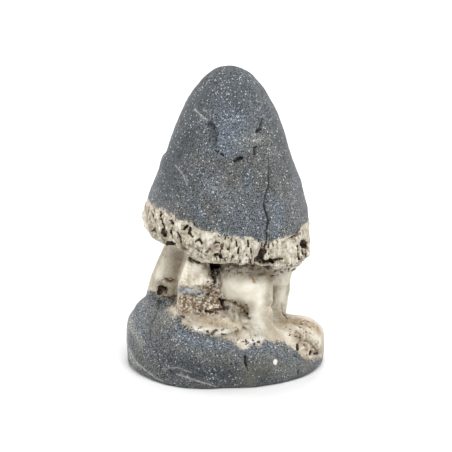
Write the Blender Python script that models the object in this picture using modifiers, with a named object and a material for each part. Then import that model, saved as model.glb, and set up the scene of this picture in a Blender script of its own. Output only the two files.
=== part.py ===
"""A mushroom-shaped viewing stone, in one piece, standing on its own base.

A worn cone of dark grey rock overhangs a waist of pale, softer rock, which has weathered into a
few stout pillars, and both stand on a thick cobble of the same dark rock.  The pale rock also
shows as a pitted band along the cone's lower edge.  +Z is up, -Y is the front, and the origin
is the middle of the underside.
"""

import math

import bmesh
import bpy
import numpy as np
from mathutils import Vector, bvhtree, noise

MM = 0.001
WELD = 0.00001

# --- Driving dimensions, in millimetres ----------------------------------------------------
HEIGHT = 147.9
CAP_DEPTH_FRONT = 0.92  # share of the cap's half-width
CAP_DEPTH_BACK = 0.88
CAP_SQUARENESS = 0.92  # 1 is an ellipse seen from above, less is squarer

# Half-width of the cap at each distance below its apex.
CAP_HALF_WIDTH = (
    (0.0, 0.0), (1.6, 6.6), (4.1, 10.2), (6.6, 12.6), (11.6, 16.7), (21.7, 22.0),
    (31.8, 25.8), (41.9, 29.2), (52.0, 32.2), (62.0, 35.4), (72.0, 38.4), (80.0, 39.4), (100.0, 38.6),
)
# How far the cap's middle leans towards +X at each distance below its apex.
CAP_LEAN = ((0.0, 1.7), (17.0, 1.4), (41.0, 1.1), (62.0, 0.8), (80.0, -0.1), (100.0, -0.6))
# Height of the cap's lower lip, by azimuth in degrees from +X, anticlockwise seen from above.
CAP_LIP = (
    (0, 53.0), (45, 57.0), (90, 62.0), (135, 65.5), (165, 66.5), (190, 66.0), (215, 66.0),
    (235, 66.0), (250, 62.0), (268, 61.0), (285, 60.8), (300, 58.5), (315, 55.5), (335, 52.5),
)
LIP_ROUNDING = 7.0  # radius of the lip's turn to the underside
UNDERSIDE_RISE = 5.0
SKIN_SHARE, LIP_SHARE = 0.66, 0.80  # the sphere's rings up to here make the cap's skin, then its lip
RINGS_TO_APEX = 1.6  # above 1 draws the rings together at the apex

# Reach of the base from the axis, by azimuth.
BASE_REACH = (
    (0, 47.4), (30, 43.5), (60, 36.5), (90, 34.5), (120, 37.0), (150, 43.0), (180, 47.8),
    (210, 46.6), (240, 41.8), (270, 37.2), (300, 39.5), (330, 45.6),
)
# Height of the base's upper edge, by azimuth.
BASE_TOP = (
    (0, 22.5), (25, 15.0), (45, 15.0), (68, 20.0), (90, 23.0), (115, 23.5), (138, 23.0), (155, 24.0),
    (180, 31.0),
    (205, 32.0), (230, 30.0), (245, 27.0), (260, 24.5), (280, 22.0), (300, 20.5), (315, 20.0),
    (340, 21.5),
)
BASE_MIDDLE = 27.0  # height of the base's top at the axis
BASE_LEFT_RISE = 0.13  # how much higher that top is for each millimetre to the left
BASE_WAIST = 6.5  # height of the base's widest place
BASE_TOP_EDGE = 0.44  # roundness of the upper edge: 1 is a ball, less is squarer
BASE_BOTTOM_EDGE = 0.32
BASE_SAG = 1.5  # how far the untrimmed base reaches below the floor, where it is cut flat

ROCK_COLOUR = (0.17, 0.18, 0.19, 1.0)  # linear
ROCK_ROUGHNESS = 0.75
SHARP_ANGLE = 50.0

SURVEY_TILT = 20.0  # the front's features are laid out on a sheet leaning back this many degrees
SHEET_DISTANCE = 300.0  # how far the sheet is held from the axis

FIRST_VOXEL, FIRST_SMOOTHING = 0.8, 8  # for the whole stone before it is carved
LAST_VOXEL, LAST_SMOOTHING = 0.7, 1  # for the carved stone with its squared block
FACES = 9600
FLOOR_CUTTER = (0.2, 0.2, 0.02)  # metres


def smooth_table(table, where, period=None):
    """Values on a smooth curve through the table's pairs.  With a period, the curve closes."""
    knots, values = np.array(table, float).T
    where = np.asarray(where, float)
    if period:
        where = np.mod(where - knots[0], period) + knots[0]
        knots = np.concatenate([knots[-2:] - period, knots, knots[:2] + period])
        values = np.concatenate([values[-2:], values, values[:2]])
    slopes = np.gradient(values, knots)
    i = np.clip(np.searchsorted(knots, where, side="right") - 1, 0, len(knots) - 2)
    gap = knots[i + 1] - knots[i]
    t = np.clip((where - knots[i]) / gap, 0.0, 1.0)
    ease = t * t * (3 - 2 * t)
    bend = t * (1 - t) * ((1 - t) * slopes[i] - t * slopes[i + 1]) * gap
    return values[i] * (1 - ease) + values[i + 1] * ease + bend


def points_of(mesh):
    points = np.empty(len(mesh.vertices) * 3)
    mesh.vertices.foreach_get("co", points)
    return points.reshape(-1, 3)


def set_points(mesh, points):
    mesh.vertices.foreach_set("co", points.astype(np.float32).ravel())
    mesh.update()


def unit_sphere(name, segments=128, rings=72):
    bpy.ops.mesh.primitive_uv_sphere_add(segments=segments, ring_count=rings, radius=1)
    sphere = bpy.context.object
    sphere.name = name
    return sphere


def squared(wave, power):
    """A sine or cosine drawn out towards its extremes, which squares a circle's corners."""
    return np.sign(wave) * np.abs(wave) ** power


def sphere_angles(points):
    """Azimuth in degrees, and polar angle as a share from 0 at the top to 1 at the bottom."""
    azimuth = np.degrees(np.arctan2(points[:, 1], points[:, 0])) % 360
    return azimuth, np.arccos(np.clip(points[:, 2], -1, 1)) / math.pi


def make_cap():
    """The cone: its skin from apex to lip, a rounded lip, and a slightly hollow underside."""
    cap = unit_sphere("cap")
    azimuth, polar = sphere_angles(points_of(cap.data))
    lip = smooth_table(CAP_LIP, azimuth, 360)
    down = np.clip(polar / SKIN_SHARE, 0, 1)
    turn = np.clip((polar - SKIN_SHARE) / (LIP_SHARE - SKIN_SHARE), 0, 1) * math.pi / 2
    inward = np.clip((polar - LIP_SHARE) / (1 - LIP_SHARE), 0, 1)

    fall = (HEIGHT - lip - LIP_ROUNDING) * down ** RINGS_TO_APEX
    root = np.sqrt(np.array(CAP_HALF_WIDTH)[:, 0])
    profile = np.column_stack([root, np.array(CAP_HALF_WIDTH)[:, 1]])
    reach = smooth_table(profile, np.sqrt(fall)) - LIP_ROUNDING * (1 - np.cos(turn))
    reach = reach * (1 - inward)
    height = HEIGHT - fall - LIP_ROUNDING * np.sin(turn)
    height = height + UNDERSIDE_RISE * np.sin(inward * math.pi / 2)

    angle = np.radians(azimuth)
    across = squared(np.cos(angle), CAP_SQUARENESS)
    along = squared(np.sin(angle), CAP_SQUARENESS)
    depth = np.where(along < 0, CAP_DEPTH_FRONT, CAP_DEPTH_BACK)
    lean = smooth_table(CAP_LEAN, fall)
    x = lean + reach * across
    y = reach * along * depth
    set_points(cap.data, np.column_stack([x, y, height]) * MM)
    return cap


def make_base():
    """The cobble: a thick disc with a soft upper edge and a rounder lower one."""
    base = unit_sphere("base")
    azimuth, polar = sphere_angles(points_of(base.data))
    rise = np.cos(polar * math.pi)
    spread = np.sin(polar * math.pi)
    upper = rise >= 0
    share = spread ** np.where(upper, BASE_TOP_EDGE, BASE_BOTTOM_EDGE)
    reach = smooth_table(BASE_REACH, azimuth, 360) * share
    angle = np.radians(azimuth)
    rim = smooth_table(BASE_TOP, azimuth, 360)
    middle = BASE_MIDDLE - BASE_LEFT_RISE * reach * np.cos(angle)
    top = middle + (rim - middle) * np.clip(share, 0, 1) ** 2
    above = (top - BASE_WAIST) * np.abs(rise) ** BASE_TOP_EDGE
    below = (BASE_WAIST + BASE_SAG) * np.abs(rise) ** BASE_BOTTOM_EDGE
    z = BASE_WAIST + np.where(upper, above, -below)
    x, y = reach * np.cos(angle), reach * np.sin(angle)
    set_points(base.data, np.column_stack([x, y, z]) * MM)
    return base


def blob(name, centre, radii, turn=(0, 0, 0)):
    """An ellipsoid, with its centre and half-axes in millimetres and its turn in degrees."""
    bpy.ops.mesh.primitive_ico_sphere_add(subdivisions=4, radius=1)
    ball = bpy.context.object
    ball.name = name
    ball.scale = Vector(radii) * MM
    ball.rotation_euler = [math.radians(a) for a in turn]
    ball.location = Vector(centre) * MM
    bpy.ops.object.transform_apply()
    return ball


def slab(name, centre, size, turn, rounding, taper):
    """A block with rounded edges, whose top is narrower than its foot by the given share."""
    bpy.ops.mesh.primitive_cube_add(size=1)
    block = bpy.context.object
    block.name = name
    for vertex in block.data.vertices:
        if vertex.co.z > 0:
            vertex.co.x *= taper
    block.scale = Vector(size) * MM
    block.rotation_euler = [math.radians(a) for a in turn]
    block.location = Vector(centre) * MM
    bpy.ops.object.transform_apply()
    bevel = block.modifiers.new("Worn edges", "BEVEL")
    bevel.width = rounding * MM
    bevel.segments = 3
    apply_modifiers(block)
    return block


def pillar(name, stations):
    """A limb with round ends through its stations, each (x, y, z, radius) in millimetres."""
    curve = bpy.data.curves.new(name, "CURVE")
    curve.dimensions = "3D"
    curve.bevel_depth = MM
    curve.bevel_resolution = 6
    curve.resolution_u = 8
    curve.use_fill_caps = True
    spline = curve.splines.new("BEZIER")
    spline.bezier_points.add(len(stations) - 1)
    for point, (x, y, z, radius) in zip(spline.bezier_points, stations):
        point.co = Vector((x, y, z)) * MM
        point.handle_left_type = point.handle_right_type = "AUTO"
        point.radius = radius
    limb = bpy.data.objects.new(name, curve)
    bpy.context.scene.collection.objects.link(limb)
    return as_mesh(limb)


def as_mesh(limb):
    """Replaces a curve object by a mesh object of the same shape."""
    mesh = bpy.data.meshes.new_from_object(limb.evaluated_get(bpy.context.evaluated_depsgraph_get()))
    shell = bmesh.new()
    shell.from_mesh(mesh)
    bmesh.ops.remove_doubles(shell, verts=shell.verts, dist=WELD)
    shell.to_mesh(mesh)
    shell.free()
    name = limb.name
    bpy.data.objects.remove(limb)
    made = bpy.data.objects.new(name, mesh)
    bpy.context.scene.collection.objects.link(made)
    return made


def join(objects, name):
    bpy.ops.object.select_all(action="DESELECT")
    for part in objects:
        part.select_set(True)
    bpy.context.view_layer.objects.active = objects[0]
    bpy.ops.object.join()
    objects[0].name = name
    return objects[0]


def fuse(stone, voxel, smoothing):
    """Makes one skin of all overlapping shapes in the stone, and rounds its creases."""
    remesh = stone.modifiers.new("One skin", "REMESH")
    remesh.mode = "VOXEL"
    remesh.voxel_size = voxel * MM
    soften = stone.modifiers.new("Worn creases", "SMOOTH")
    soften.factor = 0.5
    soften.iterations = smoothing
    apply_modifiers(stone)


def apply_modifiers(thing):
    bpy.context.view_layer.objects.active = thing
    for modifier in list(thing.modifiers):
        bpy.ops.object.modifier_apply(modifier=modifier.name)


def make_waist():
    """The pale rock between cap and base: a core, the pillars, a block and a bulging front."""
    return [
        blob("core", (0, 8, 46), (25, 15.5, 32)),
        pillar("left_pillar", (
            (-20, -2, 70, 8), (-23, -5, 59, 6.2), (-26.4, -6, 51, 6.6), (-29, -6, 42, 7.2),
            (-30.4, -5, 35, 7.8), (-28, 0, 26, 11),
        )),
        pillar("right_pillar", (
            (27, -3, 62, 9), (25.5, -2, 51, 7.6), (23, 0, 43, 7.6), (22.5, 0, 35, 7.8), (20, 2, 27, 9.6),
        )),
        pillar("back_left_pillar", (
            (-12, 17, 70, 10), (-17, 19, 54, 6.4), (-19, 17, 40, 8.4), (-16, 12, 22, 14),
        )),
        pillar("back_right_pillar", (
            (10, 19, 68, 9), (15, 21, 52, 7.6), (12, 18, 38, 6.6), (9, 11, 20, 14),
        )),
        pillar("back_rib", ((4, 20, 62, 7), (-2, 20, 48, 5), (-6, 20, 38, 6), (-3, 16, 24, 10))),
        blob("back_shelf", (-2, 17, 27), (19, 13, 8), (-10, 0, 0)),
        blob("bulb", (7.8, -14.5, 44), (13.4, 13.5, 14)),
        pillar("bulb_foot", (
            (13, -17, 42, 8.5), (15, -19.5, 34, 7), (16, -21.5, 27, 6.5), (18, -21, 16, 9),
        )),
        blob("foot_apron", (19, -17, 17), (17, 13, 7.5), (8, 6, 0)),
        blob("left_apron", (-30, -4, 28), (14, 13, 6.5), (0, -6, 0)),
        blob("front_shelf", (-9, -17, 27.3), (24, 14.5, 8.5), (6, 0, 0)),
        blob("bulb_shoulder", (-1.5, -15, 44.5), (8.5, 10, 8)),
        pillar("right_neck", ((30, -8, 60, 7), (26.3, -8, 52, 6.5), (23.5, -7, 43, 6))),
        blob("right_ledge", (34, -7, 14), (13, 18, 9.5)),
    ]


def make_block():
    """The squared block under the cap's front, on the broader rotted layer that carries it."""
    return [
        slab("block", (-13.9, -17.5, 56.0), (17.6, 18, 18), (-3, 2, 4), 0.9, 0.34),
        slab("block_foot", (-13, -17.2, 39.0), (20.5, 18.6, 17), (-4, 2, 4), 1.8, 0.9),
    ]


# --- Carving ---------------------------------------------------------------------------------
# The front's features are laid out in millimetres on a sheet that leans back by SURVEY_TILT:
# x to the right, v up the sheet.  Each is carried onto the stone straight along the sheet's
# normal, and the same feature is then cut by its distance from the vertices.

TILT = math.radians(SURVEY_TILT)
INTO_STONE = Vector((0, math.cos(TILT), -math.sin(TILT)))
UP_SHEET = Vector((0, math.sin(TILT), math.cos(TILT)))


class Clay:
    """The fused stone while it is carved: its points and normals in millimetres."""

    def __init__(self, stone):
        self.stone = stone
        self.refresh()

    def refresh(self):
        mesh = self.stone.data
        self.points = points_of(mesh) / MM
        normals = np.empty(len(mesh.vertices) * 3)
        mesh.vertices.foreach_get("normal", normals)
        self.normals = normals.reshape(-1, 3)
        self.tree = bvhtree.BVHTree.FromObject(self.stone, bpy.context.evaluated_depsgraph_get())

    def keep(self):
        set_points(self.stone.data, self.points * MM)

    def lay(self, x, v):
        """The stone's point under the sheet's point (x, v)."""
        on_sheet = Vector((x, 0, 0)) + UP_SHEET * v
        hit = self.tree.ray_cast((on_sheet - INTO_STONE * SHEET_DISTANCE) * MM, INTO_STONE)[0]
        return np.array(hit) / MM if hit else np.array(on_sheet)

    def lay_path(self, path, step=1.2):
        """Points along a polyline of the sheet, laid on the stone."""
        laid = [self.lay(*path[0])]
        for (x0, v0), (x1, v1) in zip(path, path[1:]):
            pieces = max(1, round(math.hypot(x1 - x0, v1 - v0) / step))
            for i in range(1, pieces + 1):
                t = i / pieces
                laid.append(self.lay(x0 + (x1 - x0) * t, v0 + (v1 - v0) * t))
        return laid

    def push(self, amount, direction=None):
        """Moves the points outwards by an amount each, or along a given direction."""
        way = self.normals if direction is None else np.asarray(direction)
        self.points = self.points + way * amount[:, None]


def bowl(distance, width):
    """A round hollow's depth, from 1 in its middle to 0 at its width."""
    return np.sqrt(np.clip(1 - (distance / width) ** 2, 0, 1))


def slope(distance, width):
    """A soft hollow's depth, with no edge."""
    t = np.clip(1 - distance / width, 0, 1)
    return t * t * (3 - 2 * t)


def far_from(points, path):
    """Each point's distance from a path of laid points, with the path's stretches fading out."""
    nearest = np.full(len(points), 1e9)
    for a, b in zip(path, path[1:] or path):
        along = b - a
        length = max(along @ along, 1e-9)
        t = np.clip((points - a) @ along / length, 0, 1)
        nearest = np.minimum(nearest, np.linalg.norm(points - a - t[:, None] * along, axis=1))
    return nearest


def carve(clay, path, width, depth, shape=bowl):
    """Cuts a pit or a groove of a width and depth along a path on the sheet."""
    laid = clay.lay_path(path)
    clay.push(-depth * shape(far_from(clay.points, laid), width / 2))


def raise_lump(clay, path, width, height):
    laid = clay.lay_path(path)
    clay.push(height * slope(far_from(clay.points, laid), width / 2))


def roughness(points, size, seed=0.0):
    """Smooth noise from -1 to 1, whose lumps measure about the given size."""
    return np.array([noise.noise(Vector(p) / size + Vector((seed, seed, seed))) for p in points])


def pitting(points, size, seed=0.0):
    """Round cells about the given size: 1 in a cell's middle, falling to 0 at its edge."""
    offset = Vector((seed, -seed, seed))
    near = np.array([noise.voronoi(Vector(p) / size + offset)[0][0] for p in points])
    return np.clip(1 - near / 0.55, 0, 1)


def between(value, low, high):
    """0 below low, 1 above high, and smooth between them."""
    t = np.clip((value - low) / (high - low), 0, 1)
    return t * t * (3 - 2 * t)


CAP_CRACK = (
    (19.9, 96.8), (19.9, 90.6), (19.5, 85.9), (19.9, 82.1), (18.5, 77.3), (17.6, 74.5),
    (18.0, 72.1), (19.7, 66.5), (19.0, 63.1), (18.5, 56.5),
)
# Pits and short clefts of the cap: path, width and depth.
CAP_PITS = (
    (((-7.1, 110.3), (-6.0, 108.3), (-5.4, 105.5), (-5.9, 102.5), (-5.7, 101.1)), 2.9, 1.5),
    (((-5.2, 99.2), (-3.3, 98.2), (-1.4, 96.8)), 2.0, 1.2),
    (((4.2, 94.5), (5.9, 95.5), (7.6, 95.8)), 2.6, 1.7),
    (((16.6, 112.5), (15.6, 110.2), (14.7, 108.4)), 2.6, 1.5),
    (((13.4, 100.1), (13.0, 98.6), (13.3, 96.8)), 2.2, 1.2),
)
# The thin layer that still stands on the cap's left shoulder ends along this line.
LAYER_EDGE = ((-31.0, 99.5), (-28.0, 97.5), (-25.6, 93.7), (-23.7, 91.5), (-22.3, 89.7), (-19.5, 85.9))
LAYER_THICKNESS = 1.2
# Waves of the relief: height and size in millimetres, and a seed.
CAP_WAVE = (0.5, 22.0, 4.4)
BASE_WAVE = (0.9, 26.0, 2.2)
BAND_WAVES = ((1.1, 5.5, 3.1), (0.7, 2.8, 7.7))
WAIST_WAVES = ((0.9, 6.5, 5.2), (0.4, 3.0, 9.4))
BACK_WAVES = 1.8  # how much stronger the cap's waves are behind
BASE_BACK_WAVES = 1.2
BAND_SWELL = 0.5
BAND_CELL = 4.4  # width of the band's pits
BAND_PIT_DEPTH, BAND_PIT_EXTRA = 0.7, 1.6  # everywhere, and in patches
PATCH_SIZE = 11.0
PILLAR_STRETCH = 0.5  # the waist's lumps are drawn out upwards by this
# Height of the pale band's upper limit on the cap, by azimuth.
BAND_TOP = (
    (0, 71.0), (45, 73.0), (90, 77.0), (135, 80.0), (165, 81.0), (185, 81.5), (203, 84.0),
    (220, 83.0), (233, 81.0), (247, 79.0), (262, 76.5), (278, 75.0), (300, 72.5), (318, 71.5),
    (330, 73.0), (345, 73.0),
)
# Deep pits of the band: path, width and depth.
BAND_PITS = (
    (((-25.1, 66.0),), 2.6, 1.8), (((-28.5, 61.9), (-28.9, 60.1)), 3.0, 2.0),
    (((-25.6, 61.2), (-25.1, 59.3)), 2.4, 1.8), (((-25.3, 56.3), (-24.2, 55.4)), 4.0, 2.8),
    (((-19.9, 63.1), (-18.5, 64.1)), 2.2, 1.5), (((-16.6, 62.6), (-17.1, 60.7)), 2.6, 1.8),
    (((-21.8, 58.6), (-20.9, 56.0)), 2.4, 1.8), (((-12.8, 57.4), (-11.6, 56.5)), 3.0, 1.8),
    (((-5.2, 56.4), (-3.8, 56.2)), 2.8, 1.6), (((-5.0, 50.6), (-2.2, 49.9)), 3.2, 1.6),
    (((4.7, 56.3), (5.2, 54.1)), 1.9, 1.2), (((10.4, 56.5), (10.4, 53.6)), 1.9, 1.3),
    (((27.0, 55.2), (27.5, 52.7)), 2.4, 1.4), (((35.6, 55.6), (37.5, 55.8)), 4.4, 3.6),
    (((18.0, 54.5), (16.3, 51.9), (14.9, 49.3), (14.2, 46.6)), 4.6, 3.2),
    (((15.5, 47.6), (18.0, 46.8), (21.5, 46.8), (24.5, 47.4)), 4.6, 3.6),
    (((34.6, 54.1), (34.4, 49.6)), 2.2, 1.4),
)
BAND_LUMPS = ((((37.9, 53.0), (38.0, 50.0), (37.2, 47.8)), 7.5, 1.6),)


def carve_cap(clay):
    """Flattens the cap a little here and there, leaves a thin layer on it, and pits it."""
    x, y, z = clay.points.T
    behind = 1 + BACK_WAVES * between(y, 0, 18)
    clay.push(CAP_WAVE[0] * behind * roughness(clay.points, *CAP_WAVE[1:]) * between(z, 66, 80))
    v = z * math.cos(TILT) + y * math.sin(TILT)
    lower_left = np.array(LAYER_EDGE)
    edge_x = np.interp(v, lower_left[::-1, 1], lower_left[::-1, 0])
    low, top = LAYER_EDGE[-1][1], LAYER_EDGE[0][1]
    within = between(v, low - 16, low - 4) * (1 - between(v, top - 2, top))
    standing = between(edge_x - x, -0.7, 0.7) * within * between(-x, 17, 26)
    clay.push(LAYER_THICKNESS * standing * (1 - between(y, 4, 16)))
    for path, width, depth in CAP_PITS:
        carve(clay, path, width, depth)
    carve(clay, CAP_CRACK, 1.5, 1.0)


def carve_band(clay):
    """Weathers the pale band: swollen, lumpy and deeply pitted, with a cleft near the right."""
    x, y, z = clay.points.T
    azimuth = np.degrees(np.arctan2(y, x)) % 360
    top = smooth_table(BAND_TOP, azimuth, 360)
    lip = smooth_table(CAP_LIP, azimuth, 360)
    outer = between(np.hypot(x, y * 1.08), 27, 33)
    band = between(top - z, 0.5, 3.0) * between(z, lip - 3.0, lip - 1.0) * outer
    picked = np.flatnonzero(band > 0.01)
    some = clay.points[picked]
    relief = np.zeros(len(clay.points))
    lumps = sum(height * roughness(some, size, seed) for height, size, seed in BAND_WAVES)
    patchy = between(roughness(some, PATCH_SIZE, 8.2), -0.5, 0.3)
    pit_depth = BAND_PIT_DEPTH + BAND_PIT_EXTRA * patchy
    relief[picked] = BAND_SWELL + lumps - pit_depth * pitting(some, BAND_CELL, 1.3) ** 1.5
    clay.push(relief * band)
    for path, width, depth in BAND_PITS:
        carve(clay, path, width, depth)
    for path, width, height in BAND_LUMPS:
        raise_lump(clay, path, width, height)


# Hollows of the waist: path, width and depth.
WAIST_HOLLOWS = (
    (((-30.9, 34.6), (-30.9, 32.9)), 3.8, 3.4), (((-27.6, 38.0), (-26.4, 37.9)), 2.2, 1.2),
    (((-19.9, 45.1), (-22.3, 39.4), (-23.6, 33.7), (-24.2, 29.4)), 2.6, 2.0),
    (((-7.6, 44.9), (-4.6, 43.9), (-0.5, 44.4), (2.8, 45.4)), 4.4, 3.4),
    (((-8.2, 43.6), (-7.1, 40.3), (-5.9, 37.6)), 2.6, 2.0),
    (((-5.2, 35.5), (-4.3, 32.6), (-3.2, 29.6)), 2.6, 2.0), (((-3.2, 29.8),), 4.0, 3.0),
    (((5.0, 27.4), (7.1, 25.5), (8.6, 22.8)), 5.0, 3.2),
    (((20.9, 35.6), (21.9, 32.0), (22.4, 29.0), (21.4, 25.5)), 2.0, 1.0),
    (((26.9, 27.5), (27.2, 23.3), (28.7, 20.6), (32.6, 18.7)), 1.8, 0.8),
)
# Hollows behind and at the sides, where the sheet doesn't reach: centre, width and depth.
BACK_HOLLOWS = (
    ((-9, 26, 52), 10.0, 5.0), ((-11, 27, 37), 7.0, 3.5), ((7, 26, 54), 7.0, 4.0),
    ((5, 25, 41), 8.0, 5.0), ((21, 19, 47), 8.0, 4.0), ((-25, 13, 48), 8.0, 4.0),
    ((-26, 10, 36), 6.0, 3.0), ((24, 9, 36), 7.0, 3.5), ((14, 24, 32), 6.0, 3.0),
)
WAIST_LUMPS = (
    (((6.2, 45.3),), 5.0, 1.6), (((22.4, 45.0), (24.4, 45.2)), 4.4, 1.4),
    (((-5.0, 27.6), (-3.0, 25.4)), 5.0, 0.8),
)


def carve_waist(clay):
    """Weathers the pillars, opens the hollows between them and leaves small lumps."""
    x, y, z = clay.points.T
    height = between(z, 18, 24) * (1 - between(z, 52, 56))
    inside = 1 - between(np.hypot(x, y * 1.15), 34, 38)
    worn = np.flatnonzero(height * inside > 0.01)
    some = clay.points[worn]
    relief = np.zeros(len(clay.points))
    drawn_up = some * [1, 1, PILLAR_STRETCH]
    relief[worn] = sum(height * roughness(drawn_up, size, seed) for height, size, seed in WAIST_WAVES)
    clay.push(relief * height * inside)
    for path, width, depth in WAIST_HOLLOWS:
        carve(clay, path, width, depth)
    for middle, width, depth in BACK_HOLLOWS:
        clay.push(-depth * slope(far_from(clay.points, [np.array(middle, float)]), width / 2 + depth))
    for path, width, height in WAIST_LUMPS:
        raise_lump(clay, path, width, height)


# Cracks, creases and pits of the base: path, width and depth.
BASE_CUTS = (
    (((9.0, 3.8), (9.0, 0.5), (10.0, -2.8)), 2.0, 1.3),
    (((-31.3, 28.9), (-32.7, 25.1), (-35.1, 17.1), (-36.1, 13.3), (-35.6, 10.0)), 1.8, 0.8),
    (((33.2, 15.2), (35.6, 12.3), (36.1, 10.0)), 1.8, 0.9),
    (((37.0, 14.2), (39.4, 11.4), (40.3, 9.0), (41.3, 5.2)), 1.8, 0.9),
    (((33.7, 7.1),), 2.6, 1.5), (((40.3, 3.8),), 2.8, 1.6), (((37.9, 8.0), (38.5, 5.6)), 2.8, 1.0),
    (((6.6, 20.4), (9.0, 14.7)), 2.0, 0.9), (((4.7, 14.7), (5.7, 10.9)), 1.8, 0.7),
)


def carve_base(clay):
    """Gives the cobble its slow waves, and cuts its cracks, creases and pits."""
    x, y, z = clay.points.T
    low = 1 - between(z, 26, 32)
    picked = np.flatnonzero(low > 0.01)
    relief = np.zeros(len(clay.points))
    relief[picked] = BASE_WAVE[0] * roughness(clay.points[picked], *BASE_WAVE[1:])
    clay.push(relief * low * (1 + BASE_BACK_WAVES * between(y, 0, 20)))
    for path, width, depth in BASE_CUTS:
        carve(clay, path, width, depth)


def cut_flat(stone, cutters):
    """Cuts the underside flat at the floor."""
    bpy.ops.mesh.primitive_cube_add(size=1)
    floor = bpy.context.object
    floor.name = "floor_cutter"
    floor.scale = FLOOR_CUTTER
    floor.location.z = -FLOOR_CUTTER[2] / 2
    bpy.ops.object.transform_apply()
    floor.hide_render = True
    floor.display_type = "WIRE"
    move_to(floor, cutters)
    cut = stone.modifiers.new("Flat underside", "BOOLEAN")
    cut.operation = "DIFFERENCE"
    cut.solver = "EXACT"
    cut.object = floor
    apply_modifiers(stone)


def centre(stone):
    """Puts the middle of the stone's width and depth on the origin."""
    points = points_of(stone.data)
    middle = (points.min(axis=0) + points.max(axis=0)) / 2
    middle[2] = points[:, 2].min()
    set_points(stone.data, points - middle)


def finish_surface(stone):
    """Gives the stone its material, and soft shading that breaks at sharp edges."""
    rock = bpy.data.materials.new("dark_weathered_rock")
    rock.use_nodes = True
    surface = rock.node_tree.nodes["Principled BSDF"].inputs
    surface["Base Color"].default_value = ROCK_COLOUR
    surface["Roughness"].default_value = ROCK_ROUGHNESS
    surface["Metallic"].default_value = 0.0
    stone.data.materials.clear()
    stone.data.materials.append(rock)
    bpy.ops.object.select_all(action="DESELECT")
    stone.select_set(True)
    bpy.context.view_layer.objects.active = stone
    bpy.ops.object.shade_smooth()
    stone.data.set_sharp_from_angle(angle=math.radians(SHARP_ANGLE))


def move_to(thing, collection):
    for old in list(thing.users_collection):
        old.objects.unlink(thing)
    collection.objects.link(thing)


def main():
    for old in list(bpy.data.objects):
        bpy.data.objects.remove(old)
    kept = bpy.data.collections.new("viewing_stone")
    cutters = bpy.data.collections.new("cutters")
    for collection in (kept, cutters):
        bpy.context.scene.collection.children.link(collection)

    stone = join([make_cap(), make_base(), *make_waist()], "stone")
    fuse(stone, FIRST_VOXEL, FIRST_SMOOTHING)
    clay = Clay(stone)
    carve_cap(clay)
    carve_band(clay)
    carve_waist(clay)
    carve_base(clay)
    clay.keep()
    stone = join([stone, *make_block()], "stone")
    fuse(stone, LAST_VOXEL, LAST_SMOOTHING)

    thin = stone.modifiers.new("Fewer faces", "DECIMATE")
    thin.ratio = FACES / (2 * len(stone.data.polygons))
    apply_modifiers(stone)
    cut_flat(stone, cutters)
    centre(stone)
    finish_surface(stone)
    move_to(stone, kept)


main()
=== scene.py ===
import math

import bpy
import numpy as np
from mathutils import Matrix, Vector, bvhtree


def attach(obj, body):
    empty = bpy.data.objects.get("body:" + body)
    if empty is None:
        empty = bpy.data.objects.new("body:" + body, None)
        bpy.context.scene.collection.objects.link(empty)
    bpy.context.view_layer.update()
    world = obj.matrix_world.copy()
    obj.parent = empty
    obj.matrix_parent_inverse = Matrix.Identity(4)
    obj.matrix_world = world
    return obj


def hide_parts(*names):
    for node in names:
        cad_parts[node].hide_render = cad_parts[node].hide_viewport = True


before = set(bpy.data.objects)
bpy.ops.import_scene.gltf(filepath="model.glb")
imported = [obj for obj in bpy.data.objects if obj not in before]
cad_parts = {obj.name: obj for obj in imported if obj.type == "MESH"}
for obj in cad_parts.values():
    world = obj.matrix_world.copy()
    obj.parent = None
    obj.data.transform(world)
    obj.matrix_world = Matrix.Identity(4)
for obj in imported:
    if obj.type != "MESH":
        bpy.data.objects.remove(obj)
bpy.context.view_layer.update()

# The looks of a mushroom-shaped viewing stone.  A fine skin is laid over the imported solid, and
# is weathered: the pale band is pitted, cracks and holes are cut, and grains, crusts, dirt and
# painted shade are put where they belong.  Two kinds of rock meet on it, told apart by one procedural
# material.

MM = 0.001

# The front's features are laid out in millimetres on a sheet that leans back by SHEET_TILT:
# x to the right, v up the sheet.  Each is carried onto the stone straight along its normal.
SHEET_TILT = math.radians(20.0)
SHEET_ORIGIN = Vector((0.34, 1.35, 0))
INTO_STONE = Vector((0, math.cos(SHEET_TILT), -math.sin(SHEET_TILT)))
UP_SHEET = Vector((0, math.sin(SHEET_TILT), math.cos(SHEET_TILT)))
FAR = 300.0  # millimetres, well outside the stone

SKIN_VOXEL = 0.62  # millimetres
TRIANGLES = 192000  # on the finished piece

# Height of the pale band's upper limit on the back of the cap, by azimuth in degrees from +X.
BAND_TOP_BEHIND = ((15, 70.5), (45, 73), (90, 77), (135, 80), (165, 81.5))
BAND_TOP_FRONT = (
    (-36.1, 75.4), (-33.7, 74), (-31.3, 72.1), (-28.5, 71.2), (-25.6, 69.8), (-23.7, 67.4), (-20.9, 66.4),
    (-17.1, 65.5), (-13.3, 64.1), (-9, 62.2), (-5.2, 61.7), (-2.8, 60.3), (0.9, 59.8), (4.3, 59.3),
    (9, 58.4), (13.8, 57.4), (18.5, 56.9), (23.3, 57.4), (26.6, 58.4), (29.4, 58.8), (32.3, 60.3),
    (35.1, 62.2), (37, 64.5), (38.4, 66),
)
# Height of the cap's lower lip, by azimuth.
CAP_LIP = (
    (0, 53), (45, 57), (90, 62), (135, 65.5), (165, 66.5), (190, 66), (215, 66),
    (232, 65), (250, 62.5), (270, 62), (287, 62), (300, 59), (315, 54.5), (335, 52.5),
)
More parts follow.
